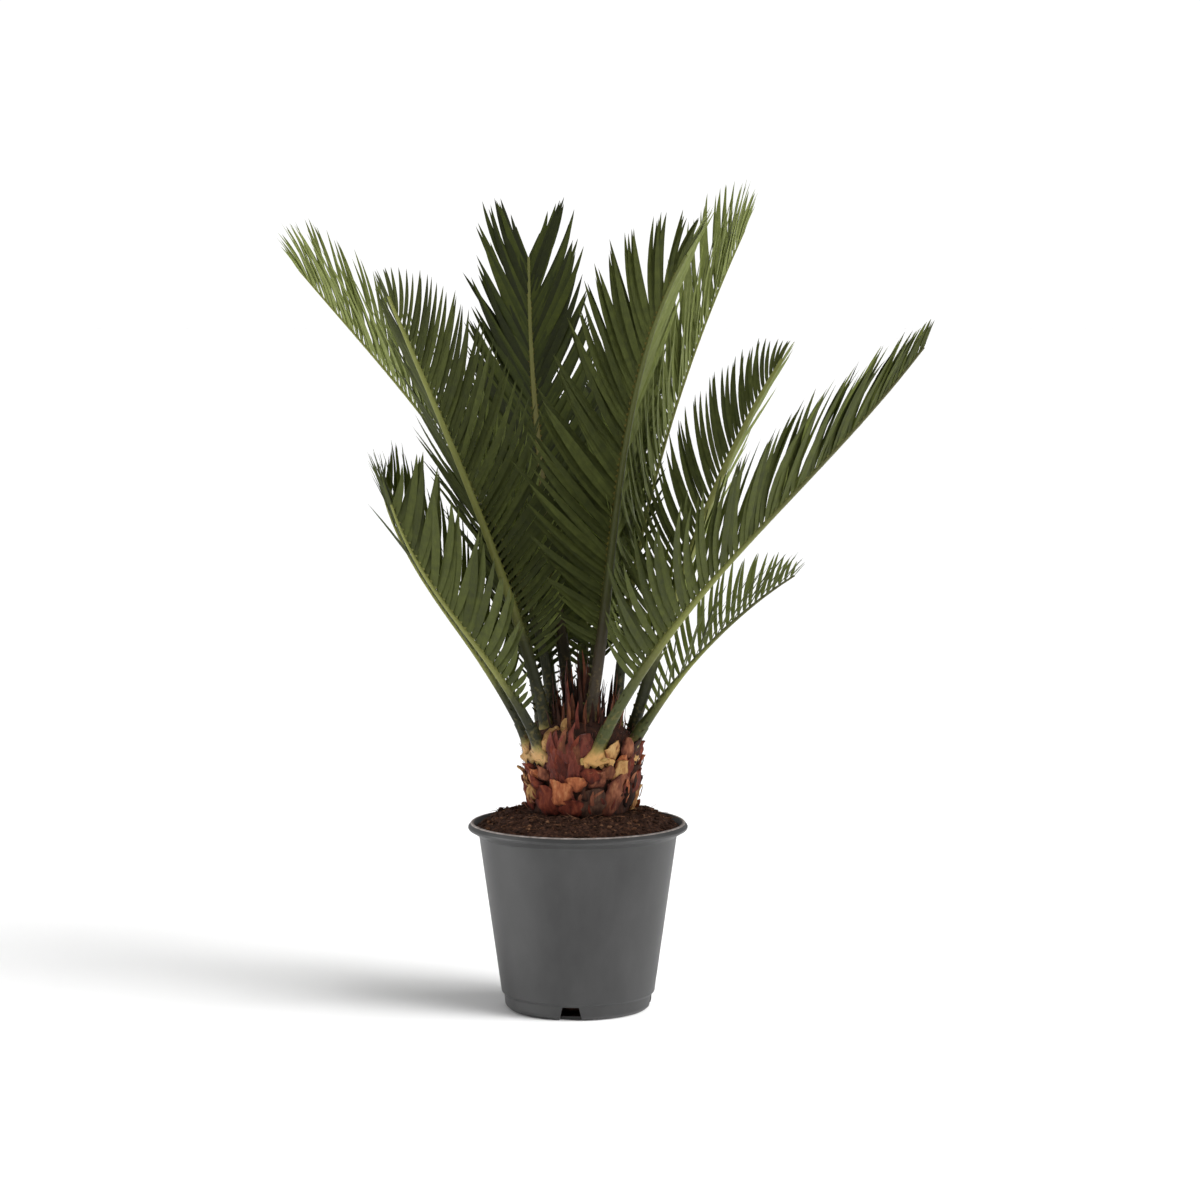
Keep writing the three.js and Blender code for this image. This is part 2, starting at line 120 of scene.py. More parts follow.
FRONDS = [
    frond("outer", -74, -34, 22, (30, 55, 36), 455, 10, 40, leaflet=118, spread=(20, 77),
          rise=(0.1, 0.27), stout=0.8, upper=("mid", "bright"), rib="fading", base=15,
          half_width=3.25, pairs=160, clump=0.3),
    frond("outer", -21, 30, 1, (38, 50, 66), 225, 0, 55, leaflet=64, spread=(32, 78), taper=2.5,
          stout=0.6, upper="light", rib="fading", half_width=2.4),
    frond("outer", 18, -37, 3, (20, 20, 37), 372, -17, 38, leaflet=84, spread=(27, 72), taper=2.5,
          closed=0.92, stout=1.1, upper="bright", under=("pale", "dull"), half_width=2.55,
          pairs=168, clump=0.05, bow=0.04),
    frond("middle", 13, 12, 0, (4, 17, 26), 448, 4, 42, spread=(25, 80), taper=6, closed=0.93,
          stout=0.5, upper="light", under="pale", half_width=3.0, pairs=160),
    frond("inner", -70, -50, 0, (15, -4, 45), 424, 8, 25, leaflet=118, spread=(26, 78), taper=4,
          closed=0.79, upper="olive", under=("pale", ("shade", "dull")), rib="green", clump=0.45,
          half_width=3.4, pairs=205, bow=0.018),
    frond("middle", 78, 68, 0, (11, 26, 48), 330, 0, 30, leaflet=86, taper=1.4, stout=0.8),
    frond("outer", 90, 88, 0, (28, 48, 66), 430, 0, 25, stout=0.8),
    frond("outer", 122, 104, 0, (22, 36, 54), 410, 0, 25, stout=0.8),
    frond("inner", 122, 109, -18, (20, 46, 24), 462, 0, 20, leaflet=114, taper=9, stout=1.2,
          rib="brown", half_width=3.6, pairs=186, clump=0.35),
    frond("middle", 149, 175, 0, (3, 48, 40), 464, -4, 44, spread=(27, 80), taper=6, closed=0.93,
          stout=0.5, upper="light", under="pale", half_width=2.5, pairs=170),
    frond("middle", 204, 205, 0, (15, 26, 24), 403, 33, 32, leaflet=112, spread=(30, 80),
          taper=2.2, closed=0.9, twist=-14, upper="mid", under="shade", half_width=2.7, pairs=155),
    frond("outer", 185, 170, 0, (26, 54, 10), 262, -10, 34, leaflet=104, spread=(22, 78), taper=3,
          stout=0.6, upper="olive", half_width=2.6),
    frond("outer", 218, 217, 1, (28, 60, 17), 268, -30, 36, leaflet=102, spread=(30, 76),
          rise=(0.2, 0.42), taper=4, twist=40, stout=0.7, upper="mid", base=17, half_width=3.9,
          pairs=150, clump=0.45),
    frond("outer", 140, 131, 0, (13, 24, 46), 325, 0, 25, leaflet=84, taper=1.4, stout=0.8),
]

# ---- materials

NOISE_ROUGHNESS = 0.55
NOISE_MIDDLE = (0.3, 0.7)
THIRDS = (0.3, 0.5, 0.7)
UPRIGHT_GRAIN = (1, 1, 0.35)


def linear(red, green, blue):
    """A linear colour from the 0 to 255 values that a screen shows."""
    shares = [value / 255 for value in (red, green, blue)]
    return [s / 12.92 if s <= 0.04045 else ((s + 0.055) / 1.055) ** 2.4 for s in shares] + [1.0]


def node(tree, kind, output, **inputs):
    """An output of a new node. Each of its inputs is a value or another node's output."""
    made = tree.nodes.new(f"ShaderNode{kind}")
    for name, given in inputs.items():
        socket = made.inputs[name.replace("_", " ")]
        if isinstance(given, bpy.types.NodeSocket):
            tree.links.new(given, socket)
        else:
            socket.default_value = given
    return made.outputs[output]


def noise_node(tree, scale, detail, stretch=(1, 1, 1)):
    """A noise texture in the piece's own metres, stretched along the axes."""
    stretched = node(tree, "Mapping", "Vector", Vector=node(tree, "TexCoord", "Object"),
                     Scale=stretch)
    return node(tree, "TexNoise", "Fac", Vector=stretched, Scale=scale, Detail=detail,
                Roughness=NOISE_ROUGHNESS)


def ramp_node(tree, source, places, colours):
    """A colour ramp with a colour at each place, driven by a value."""
    ramp = tree.nodes.new("ShaderNodeValToRGB")
    elements = ramp.color_ramp.elements
    while len(elements) < len(places):
        elements.new(0.5)
    for element, place, colour in zip(elements, places, colours):
        element.position = place
        element.color = linear(*colour)
    tree.links.new(source, ramp.inputs["Fac"])
    return ramp.outputs["Color"]


def range_node(tree, source, low, high):
    """A value moved from the middle part of a noise to low and high."""
    first, last = NOISE_MIDDLE
    return node(tree, "MapRange", "Result", Value=source, From_Min=first, From_Max=last,
                To_Min=low, To_Max=high)


def math_node(tree, operation, source, factor, *added):
    """An operation on a source and a number, and on one more source where it takes three."""
    made = tree.nodes.new("ShaderNodeMath")
    made.operation = operation
    made.inputs[1].default_value = factor
    tree.links.new(source, made.inputs[0])
    for more in added:
        tree.links.new(more, made.inputs[2])
    return made.outputs["Value"]


def tone_node(tree):
    """The tone that is kept on the mesh."""
    tone = tree.nodes.new("ShaderNodeAttribute")
    tone.attribute_name = "tone"
    return tone.outputs["Fac"]


def new_material(name, relief, specular):
    """A material, its node tree and its shader.

    relief is the (height in mm, scale, detail, stretch) of its bumps.
    """
    made = bpy.data.materials.new(name)
    made.use_nodes = True
    tree = made.node_tree
    shader = tree.nodes["Principled BSDF"]
    shader.inputs["Specular IOR Level"].default_value = specular
    height, *grain = relief
    bumps = node(tree, "Bump", "Normal", Distance=height * MM, Height=noise_node(tree, *grain))
    tree.links.new(bumps, shader.inputs["Normal"])
    return made, tree, shader


def material(name, places, colours, grain, rough, relief, specular=0.4, sheen=0.0, shade=0.0):
    """A mottled material.

    places and colours make its ramp; grain is the (scale, detail, stretch) of the ramp's noise;
    rough is the lowest and highest roughness; shade is how far down the ramp a tone of 1 on the
    mesh takes it.
    """
    made, tree, shader = new_material(name, relief, specular)
    spots = noise_node(tree, *grain)
    place = spots
    if shade:
        place = math_node(tree, "MULTIPLY_ADD", tone_node(tree), -shade, spots)
    tree.links.new(ramp_node(tree, place, places, colours), shader.inputs["Base Color"])
    tree.links.new(range_node(tree, spots, *rough), shader.inputs["Roughness"])
    shader.inputs["Sheen Weight"].default_value = sheen
    return made


def leaf_material(name, dark, light, rough=(0.5, 0.65)):
    """A leaf green, mottled between two tones."""
    return material(name, NOISE_MIDDLE, (dark, light), (140, 4), rough, (0.15, 900, 2),
                    specular=0.22)


UNDER_ROUGH = (0.6, 0.75)
FOOT_ROUGH = (0.5, 0.62)
GREENS = {
    "deep": leaf_material("leaf_deep", (36, 41, 11), (47, 53, 15)),
    "dark": leaf_material("leaf_dark", (48, 56, 15), (61, 69, 20)),
    "mid": leaf_material("leaf_mid", (59, 67, 19), (74, 82, 26)),
    "olive": leaf_material("leaf_olive", (76, 84, 25), (91, 99, 34)),
    "light": leaf_material("leaf_light", (113, 123, 58), (131, 141, 74), (0.52, 0.66)),
    # leaf_under_shade is painted shade: an underside green darkened for rows in the crown's shadow.
    "shade": leaf_material("leaf_under_shade", (52, 58, 21), (67, 73, 29), UNDER_ROUGH),
    "dull": leaf_material("leaf_under_dull", (64, 70, 28), (80, 87, 38), UNDER_ROUGH),
    "pale": leaf_material("leaf_under_pale", (121, 130, 70), (139, 148, 87), UNDER_ROUGH),
}
# The leaflets' feet, by the colour of the rib that they stand on.
AXILS = {
    "fading": leaf_material("leaf_foot_dull", (76, 78, 36), (98, 98, 48), FOOT_ROUGH),
    "yellow": leaf_material("leaf_foot_green", (92, 94, 42), (116, 116, 58), FOOT_ROUGH),
    "brown": leaf_material("leaf_foot_brown", (92, 74, 32), (124, 100, 46), (0.55, 0.7)),
    "green": leaf_material("leaf_foot_olive", (82, 75, 32), (108, 98, 44), FOOT_ROUGH),
}
# How the greens are dealt out to a frond's leaflets, for its upper faces and its undersides. The
# shade deal is painted shade, darker undersides for rows that lie in the crown's shadow.
DEALS = {
    "dark": ("deep", "dark", "dark", "mid", "mid"),
    "mid": ("dark", "mid", "mid", "mid", "olive"),
    "olive": ("mid", "mid", "olive", "olive"),
    "bright": ("olive", "olive", "light"),
    "light": ("light", "light", "light", "light", "pale"),
    "shade": ("shade", "shade", "shade", "dull"),
    "dull": ("shade", "dull", "dull", "dull"),
    "pale": ("pale", "pale", "pale", "pale", "light"),
}
# Where along a frond a pair of deals turns from the first to the second: painted light, darker
# greens on the shaded foot and lighter ones toward the lit tip.
DEAL_TURN = (0.35, 0.85)

# A rib's tone is 0 at its cream foot, STALK_TONE along the dark stalk and 1 at its tip. The stalk's
# dark colour is partly its own and partly painted shade of the crown's lower part.
STALK_TONE = 0.2
RIB_PLACES = (0.0, 0.1, STALK_TONE, 0.38, 0.6, 1.0)
FADING_PLACES = (0.0, 0.1, STALK_TONE, 0.38, 0.6, 0.78, 1.0)
RIB_WANDER = 0.16


def rib_material(name, places, *colours):
    """A rib coloured from its foot to its tip by the tone that is kept on its mesh."""
    made, tree, shader = new_material(f"rib_{name}", (0.3, 500, 3, (1, 1, 0.2)), 0.28)
    lowered = math_node(tree, "SUBTRACT", tone_node(tree), RIB_WANDER / 2)
    place = math_node(tree, "MULTIPLY_ADD", noise_node(tree, 260, 4), RIB_WANDER, lowered)
    tree.links.new(ramp_node(tree, place, places, colours), shader.inputs["Base Color"])
    rough = range_node(tree, noise_node(tree, 300, 2), 0.42, 0.6)
    tree.links.new(rough, shader.inputs["Roughness"])
    return made


RIBS = {
    "yellow": rib_material("yellow", RIB_PLACES, (208, 164, 108), (146, 132, 74), (42, 44, 24),
                           (66, 68, 36), (128, 130, 68), (134, 138, 72)),
    "brown": rib_material("brown", RIB_PLACES, (208, 164, 108), (130, 110, 62), (38, 33, 17),
                          (60, 48, 28), (110, 100, 52), (130, 132, 70)),
    "green": rib_material("green", RIB_PLACES, (208, 164, 108), (136, 114, 66), (60, 50, 35),
                          (58, 54, 31), (72, 76, 37), (104, 110, 56)),
    "fading": rib_material("fading", FADING_PLACES, (208, 160, 98), (146, 128, 68), (70, 76, 38),
                           (96, 98, 50), (126, 130, 66), (92, 94, 50), (84, 84, 48)),
}
THORN = leaf_material("rib_thorn", (62, 66, 36), (88, 80, 44))


def bark(name, colours, places=(0.5, 0.72), sheen=0.0, height=0.8):
    """A dry bark or scale material with upright fibres, darker toward its edges.

    places are where the two lighter colours stand on its ramp; a high tone on the mesh takes it
    toward the darker colours as painted shade.
    """
    return material(f"bark_{name}", (0.0, 0.3, *places), colours, (240, 8, UPRIGHT_GRAIN),
                    (0.7, 0.92), (height, 520, 6, (1, 1, 0.3)), 0.25, sheen, shade=0.28)


BARKS = {
    "dark": bark("dark", ((22, 13, 10), (38, 23, 17), (66, 39, 28), (92, 56, 38)), (0.55, 0.75)),
    "orange": bark("orange", ((62, 29, 19), (130, 68, 43), (178, 104, 66), (208, 144, 98))),
    "red": bark("red", ((40, 15, 11), (74, 29, 20), (110, 48, 33), (150, 80, 54)), (0.5, 0.75)),
    "salmon": bark("salmon", ((48, 24, 18), (94, 50, 36), (142, 86, 62), (182, 124, 90))),
    "tan": bark("tan", ((78, 44, 26), (150, 98, 58), (190, 146, 92), (214, 178, 122)),
                (0.48, 0.7)),
    "wool": bark("wool", ((50, 19, 14), (84, 34, 25), (118, 54, 40), (150, 86, 66)),
                 (0.5, 0.74), sheen=0.3, height=1.0),
    "mud": bark("mud", ((38, 25, 19), (60, 40, 31), (86, 60, 47), (114, 86, 69)), height=1.4),
    "dry": bark("dry", ((40, 22, 16), (80, 44, 30), (116, 68, 46), (152, 100, 70))),
}

EARTH = material("soil_earth", (0.32, 0.5, 0.7), ((42, 26, 19), (72, 47, 36), (108, 76, 60)),
                 (330, 8), (0.85, 0.98), (1.6, 700, 8), specular=0.2)
CRUMB = material("soil_crumb", THIRDS, ((40, 26, 19), (68, 45, 34), (96, 68, 52)),
                 (420, 6), (0.85, 0.98), (0.8, 900, 6), specular=0.2)
CHIP = material("soil_chip", THIRDS, ((78, 50, 36), (114, 78, 56), (160, 122, 92)),
                (420, 6), (0.8, 0.95), (0.5, 900, 6), specular=0.2)
PLASTIC = material("pot_plastic", THIRDS, ((51, 51, 51), (59, 59, 59), (67, 67, 67)),
                   (24, 7, (1, 1, 0.5)), (0.4, 0.52), (0.05, 1600, 3), specular=0.35)
# The lip's strip is worn plastic, made lighter still as a painted highlight of the crest that faces
# up into the light.
WORN_AND_HIGHLIT_PLASTIC = material("pot_rim_worn_and_highlit", THIRDS, ((114, 107, 102), (149, 140, 135), (180, 171, 166)),
                        (160, 6), (0.6, 0.75), (0.08, 1600, 3), specular=0.3)
PAPER = material("floor_paper", NOISE_MIDDLE, ((250, 250, 250), (253, 253, 253)),
                 (3, 2), (0.85, 0.95), (0.02, 60, 2), specular=0.1)


# ---- mesh making


def placed(name, data):
    """A new object in the scene."""
    made = bpy.data.objects.new(name, data)
    bpy.context.scene.collection.objects.link(made)
    return made


def fixed_normals(piece):
    """Makes every closed form of a piece face outward."""
    work = bmesh.new()
    work.from_mesh(piece.data)
    bmesh.ops.recalc_face_normals(work, faces=work.faces)
    work.to_mesh(piece.data)
    work.free()


class Shape:
    """Closed forms gathered until the mesh is made.

    A tone for each corner, from 0 to 1, says where its colour lies on the material's ramp; on the
    bark a higher tone is painted shade.
    """

    def __init__(self):
        self.corners = []
        self.faces = []
        self.slots = []
        self.tones = []

    def add(self, corners, faces, slots, tone=0.0):
        """Adds one closed form. slots is one material number, or one for each face."""
        first = len(self.corners)
        self.corners.extend(map(tuple, corners))
        self.faces.extend([tuple(first + corner for corner in face) for face in faces])
        self.slots.extend([slots] * len(faces) if isinstance(slots, int) else slots)
        self.tones.extend(np.broadcast_to(tone, len(corners)).tolist())

    def made(self, name, materials, slot, node, sharp):
        """The piece, smooth but for edges sharper than an angle. It rides on the one body."""
        mesh = bpy.data.meshes.new(name)
        mesh.from_pydata((np.array(self.corners) * MM).tolist(), [], self.faces)
        for each in materials:
            mesh.materials.append(each)
        mesh.polygons.foreach_set("material_index", self.slots)
        mesh.polygons.foreach_set("use_smooth", [True] * len(self.faces))
        mesh.attributes.new("tone", "FLOAT", "POINT").data.foreach_set("value", self.tones)
        mesh.set_sharp_from_angle(angle=math.radians(sharp))
        mesh.update()
        piece = placed(name, mesh)
        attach(piece, "root")
        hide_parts(node)
        fixed_normals(piece)
        return piece


def tube_faces(rings, sides):
    """Faces of a closed tube whose corners run ring by ring, with both ends capped."""
    faces = []
    for low in range(0, (rings - 1) * sides, sides):
        for side in range(sides):
            after = (side + 1) % sides
            faces.append((low + side, low + after, low + sides + after, low + sides + side))
    faces.append(tuple(reversed(range(sides))))
    faces.append(tuple(range((rings - 1) * sides, rings * sides)))
    return faces


def turns_round(count):
    """Angles, in radians, evenly spaced round a circle."""
    return np.linspace(0, 2 * math.pi, count, endpoint=False)


def turned_corners(profile, segments):
    """Corners of a turned form, ring by ring, from (radius, height) pairs."""
    turns = turns_round(segments)
    sideways, deep, level = np.cos(turns), np.sin(turns), np.ones(segments)
    return np.concatenate([np.stack([radius * sideways, radius * deep, height * level], 1)
                           for radius, height in profile])


def unit(vectors):
    return vectors / np.linalg.norm(vectors, axis=-1, keepdims=True)


def lerp(start, end, share):
    return start + (end - start) * share


def smoothstep(value, low, high):
    share = np.clip((value - low) / (high - low), 0, 1)
    return share * share * (3 - 2 * share)


def compass(degrees):
    """Level directions at a turn about +Z: outward, and around toward larger turns."""
    turn = math.radians(degrees)
    return (np.array([math.cos(turn), math.sin(turn), 0.0]),
            np.array([-math.sin(turn), math.cos(turn), 0.0]))


def rotated(vector, axis, degrees):
    """A vector turned about a unit axis."""
    angle = math.radians(degrees)
    return (vector * math.cos(angle) + np.cross(axis, vector) * math.sin(angle)
            + axis * np.dot(axis, vector) * (1 - math.cos(angle)))


# Where the noise is read for a move along each axis, far enough apart to differ.
NOISE_PLACES = [Vector((3.7, 9.1, 21.3)), Vector((47.9, 15.1, 41.7)), Vector((29.9, 83.3, 8.3))]
SEED_STEPS = (7.31, 3.17, 5.73)


def roughened(corners, size, height, seed):
    """Corners moved by a smooth noise of a size and height in mm, the same in each run."""
    shift = Vector([seed * step for step in SEED_STEPS])
    places = [Vector(corner) / size + shift for corner in corners]
    moves = [[noise.noise(place + apart) for apart in NOISE_PLACES] for place in places]
    return np.array(corners) + np.array(moves) * height


# ---- blades: leaflets, thorns, fibres

BLADE_RINGS = (0.0, 0.02, 0.1, 0.25, 0.4, 0.55, 0.7, 0.82, 0.92)
BLADE_WIDTH_PLACES = (0.0, 0.03, 0.12, 0.35, 0.6, 0.8, 0.92, 1.0)
BLADE_WIDTHS = (0.5, 0.62, 0.9, 1.0, 0.88, 0.55, 0.26, 0.03)
# Corners of a blade's section: across it and above it, as shares of its half width. The margins
# roll down and the midrib is a groove above and a ridge below.
BLADE_SECTION = ((-1, -0.12), (-0.55, 0.1), (0, -0.04), (0.55, 0.1), (1, -0.12),
                 (0.55, -0.1), (0, -0.3), (-0.55, -0.1))
BLADE_UPPER_FACES = 4
# How far along its length each corner of a blade stands, with the tip last.
BLADE_REACH = np.append(np.repeat(BLADE_RINGS, len(BLADE_SECTION)), 1.0)


def blade_faces():
    """Faces of a blade: a tube with a cap at its root and a point in place of its end cap."""
    sides = len(BLADE_SECTION)
    tip = len(BLADE_RINGS) * sides
    last = tip - sides
    *walls, root_cap, _ = tube_faces(len(BLADE_RINGS), sides)
    point = [(last + side, last + (side + 1) % sides, tip) for side in range(sides)]
    return walls + point + [root_cap]


BLADE_FACES = blade_faces()


def blade_slots(upper, under, foot):
    """The material numbers of a blade's faces, with its first ring and root cap as its foot."""
    sides = len(BLADE_SECTION)
    ring = [upper] * BLADE_UPPER_FACES + [under] * (sides - BLADE_UPPER_FACES)
    return [foot] * sides + ring * (len(BLADE_RINGS) - 1) + [foot]


def blade_corners(root, along, across, above, length, half_width, bend, arch):
    """Corners of a blade. It bends in its own plane and arches out of it, with its tip in place."""
    reach = np.array(BLADE_RINGS)
    width = np.interp(reach, BLADE_WIDTH_PLACES, BLADE_WIDTHS) * half_width
    bow = 4 * reach * (1 - reach)
    section = np.array(BLADE_SECTION)
    middle = (root + along * (reach * length)[:, None] + across * (bow * bend)[:, None]
              + above * (bow * arch)[:, None])
    corners = (middle[:, None, :]
               + across * (width[:, None] * section[:, 0])[..., None]
               + above * (width[:, None] * section[:, 1])[..., None])
    return np.concatenate([corners.reshape(-1, 3), [root + along * length]])


STRAND_PLACES = (0, 0.35, 0.7, 1.0)
STRAND_THINNING = 0.75
STRAND_TURNS = (0, 2.094, 4.189)


def add_strand(shape, slot, root, direction, length, radius, droop, chance):
    """A thin three-sided fibre that bends as it goes."""
    direction = unit(np.array(direction, float))
    side = unit(np.cross(direction, [0.31, 0.52, 0.79]))
    other = np.cross(direction, side)
    wander = side * chance.uniform(-0.3, 0.3) + other * chance.uniform(-0.3, 0.3)
    corners = []
    for share in STRAND_PLACES:
        middle = (np.array(root) + direction * (length * share)
                  + (wander * length - UP * droop) * share ** 2)
        thin = radius * (1 - STRAND_THINNING * share)
        corners += [middle + side * (thin * math.cos(turn)) + other * (thin * math.sin(turn))
                    for turn in STRAND_TURNS]
    shape.add(corners, tube_faces(len(STRAND_PLACES), len(STRAND_TURNS)), slot)


# ---- fronds

RIB_FINE_STEPS = 56
RIB_FINE_SIDES = 10
# Heights of the rib's flat upper side and of the groove in it, as shares of the rib's radius.
RIB_FLAT = 0.72
RIB_GROOVE = 0.55
# Distances from the seat in mm, then two stretches as shares, over which a rib's tone rises.
CREAM_FOOT = (2, 17)
TONE_RISES = ((0.1, 0.34), (0.34, 1.0))

# How many degrees a leaflet leans toward its group's middle, for each place away from it.
LEAFLET_GATHER = 3.6
GROUP_SIZES = (3, 6)
STRAY_CHANCE = 0.05
STRAY_JITTER = 2.2
FOLD_JITTER = 3.5
ANGLE_JITTER = 1.2
TWIST_MEAN_AND_JITTER = (12, 7)
LENGTH_RANGE = (0.93, 1.03)
WIDTH_RANGE = (0.92, 1.06)
WIDTH_POWER = 0.35
BOW_JITTER = 0.018
ARCH_RANGE = (0.0, 0.035)
# Where a leaflet's root sits in the rib, sideways and inward, as shares of the rib's radius.
ROOT_PLACE = (0.62, 0.3)
# Just past the tip, so that a closing stretch that starts at the tip still has a length.
PAST_TIP = 1.001

THORN_SPACING = 9.0
THORN_SPACING_RANGE = (0.7, 1.3)
THORN_FROM = 18.0
THORN_LEAN = (40, 70)
THORN_LENGTH = (3.0, 7.5)

STALK_SIDES = 16
STALK_RINGS = 10
STALK_FOOT_OUT = 5.5
STALK_FOOT_DROP = 8
STALK_RISE = 26
STALK_FOOT_DEPTH = 5.0
STALK_EASE = 0.85
STALK_CREAM = (4, 19)
TATTER_REACH = 0.78
TATTER_TONES = (0.0, 0.0, 0.03, 0.05)


def grow_rib(sizes):
    """The source's stations along a rib: points and the directions along, inner and across."""
    ring, height = SEAT_RINGS[sizes["ring"]]
    point = TRUNK_FOOT + compass(sizes["seat"])[0] * ring + UP * height
    first, middle, last = sizes["lean"]
    rows = []
    for step in range(RIB_STEPS + 1):
        share = step / RIB_STEPS
        outward, _ = compass(sizes["azimuth"] + sizes["sway"] * share)
        lean = math.radians(lerp(lerp(first, middle, share), lerp(middle, last, share), share))
        along = outward * math.sin(lean) + UP * math.cos(lean)
        inner = rotated(UP * math.sin(lean) - outward * math.cos(lean), along,
                        sizes["roll"] + sizes["twist"] * share)
        rows.append((point.copy(), along, inner, np.cross(along, inner)))
        point = point + along * (sizes["length"] / RIB_STEPS)
    return [np.array(column) for column in zip(*rows)]


def stations_at(stations, shares):
    """Points and unit directions at any shares of a rib; the points follow a smooth curve."""
    points, along, inner, across = stations
    place = np.clip(np.asarray(shares, float) * RIB_STEPS, 0, RIB_STEPS - 1e-6)
    index = place.astype(int)
    part = (place - index)[:, None]
    padded = np.concatenate([[2 * points[0] - points[1]], points, [2 * points[-1] - points[-2]]])
    before, start, end, after = (padded[index + offset] for offset in range(4))
    curve = (start + 0.5 * part * (end - before
             + part * (2 * before - 5 * start + 4 * end - after
                       + part * (3 * (start - end) + after - before))))
    directions = [unit(lerp(column[index], column[index + 1], part))
                  for column in (along, inner, across)]
    return curve, *directions


def station_at(stations, share):
    """The point and the unit directions at one share of a rib."""
    return [column[0] for column in stations_at(stations, [share])]


def rib_radius(sizes, share):
    """The rib's radius at a share of its length."""
    stalk = 1 - smoothstep(share, 0, RIB_STALK_SHARE)
    blade = lerp(RIB_MIDDLE_RADIUS, RIB_TIP_RADIUS, share) * sizes["stout"]
    return lerp(blade, RIB_SEAT_RADIUS, stalk)


def rib_tone(sizes, share):
    """The rib's tone at a share of its length."""
    rises = [smoothstep(share, *ends) for ends in TONE_RISES]
    return (STALK_TONE * smoothstep(share * sizes["length"], *CREAM_FOOT)
            + 0.4 * rises[0] + 0.4 * rises[1])


def add_rib(shape, sizes, stations):
    """The rib, with a flat upper side that has a shallow groove."""
    shares = np.linspace(0, 1, RIB_FINE_STEPS + 1)
    points, _, inner, across = stations_at(stations, shares)
    turns = turns_round(RIB_FINE_SIDES) + math.pi / 2
    upward = np.where(np.sin(turns) > 0.9, RIB_GROOVE, np.minimum(np.sin(turns), RIB_FLAT))
    radius = rib_radius(sizes, shares)[:, None]
    corners = (points[:, None, :]
               + across[:, None, :] * (np.cos(turns) * radius)[..., None]
               + inner[:, None, :] * (upward * radius)[..., None])
    tones = np.repeat(rib_tone(sizes, shares), RIB_FINE_SIDES)
    faces = tube_faces(RIB_FINE_STEPS + 1, RIB_FINE_SIDES)
    shape.add(corners.reshape(-1, 3), [face[::-1] for face in faces], 0, tones)


def leaflet_length(sizes, share):
    """A leaflet's length at a share of the rib."""
    fall_from, fall_share = LEAFLET_FALL
    rise = lerp(LEAFLET_FIRST_SHARE, 1, smoothstep(share, *sizes["rise"]))
    past = np.maximum(0, (share - fall_from) / (1 - fall_from))
    return sizes["leaflet"] * rise * lerp(1, fall_share, past ** sizes["taper"])


def grouped(count, chance):
    """Where each leaflet of a row stands in its small group: below its middle or above it."""
    places = []
    while len(places) < count:
        size = chance.randint(*GROUP_SIZES)
        places += [place - (size - 1) / 2 for place in range(size)]
    return places[:count]


def dealt(deals, share, chance):
    """The number of a green for a leaflet. A pair of deals turns from the first to the second."""
    if not isinstance(deals, str):
        # Painted light: toward the tip a pair turns to its lighter second deal.
        deals = deals[int(chance.random() < smoothstep(share, *DEAL_TURN))]
    return list(GREENS).index(chance.choice(DEALS[deals]))


def blade_directions(along, outward, angle):
    """A blade's own directions: along it, across it and above it, at an angle from the rib."""
    direction = along * math.cos(angle) + outward * math.sin(angle)
    wide = along * math.sin(angle) - outward * math.cos(angle)
    return direction, wide, np.cross(wide, direction)


def add_leaflet(shape, sizes, stations, share, side, gather, chance):
    """One leaflet at a share of the rib, on side -1 or 1, turned by gather degrees."""
    point, along, inner, across = station_at(stations, share)
    stray = STRAY_JITTER if chance.random() < STRAY_CHANCE else 1.0
    fold = math.radians(sizes["fold"] + stray * chance.gauss(0, FOLD_JITTER))
    tip_angle, foot_angle = sizes["spread"]
    angle = lerp(tip_angle, foot_angle, (1 - share) ** LEAFLET_ANGLE_POWER)
    angle *= lerp(1, LEAFLET_CLOSED_SHARE, smoothstep(share, sizes["closed"], PAST_TIP))
    angle = math.radians(angle + gather + stray * chance.gauss(0, ANGLE_JITTER))
    outward = across * (side * math.cos(fold)) + inner * math.sin(fold)
    direction, wide, above = blade_directions(along, outward, angle)
    turned = np.sign(np.dot(above, inner))
    above = above * turned
    twist = math.radians(chance.gauss(*TWIST_MEAN_AND_JITTER))
    tilted = wide * math.cos(twist) + above * math.sin(twist)
    above = above * math.cos(twist) - wide * math.sin(twist)
    length = leaflet_length(sizes, share) * chance.uniform(*LENGTH_RANGE)
    half_width = sizes["half_width"] * (length / COMMON_LEAFLET) ** WIDTH_POWER
    half_width *= chance.uniform(*WIDTH_RANGE)
    radius = rib_radius(sizes, share)
    sideways, inward = ROOT_PLACE
    root = point + across * (side * sideways * radius) + inner * (inward * radius)
    bend = -turned * length * (sizes["bow"] + chance.uniform(-BOW_JITTER, BOW_JITTER))
    arch = length * chance.uniform(*ARCH_RANGE)
    corners = blade_corners(root, direction, tilted * turned, above, length, half_width, bend, arch)
    upper = dealt(sizes["upper"], share, chance)
    under = dealt(sizes["under"][side > 0], share, chance)
    shape.add(corners, BLADE_FACES, blade_slots(upper, under, len(GREENS)))


def add_leaflets(shape, sizes, stations, chance):
    """Both rows of leaflets, from just above the bare stalk to the tip, a little out of step."""
    pairs = round(sizes["pairs"] * sizes["length"] * (1 - LEAFLET_START) / 1000)
    groups = {side: grouped(pairs, chance) for side in (-1, 1)}
    for pair in range(pairs):
        for side in (-1, 1):
            share = lerp(LEAFLET_START, 1, (pair + 0.75 + 0.25 * side) / pairs)
            gather = sizes["clump"] * groups[side][pair] * LEAFLET_GATHER
            add_leaflet(shape, sizes, stations, share, side, gather, chance)


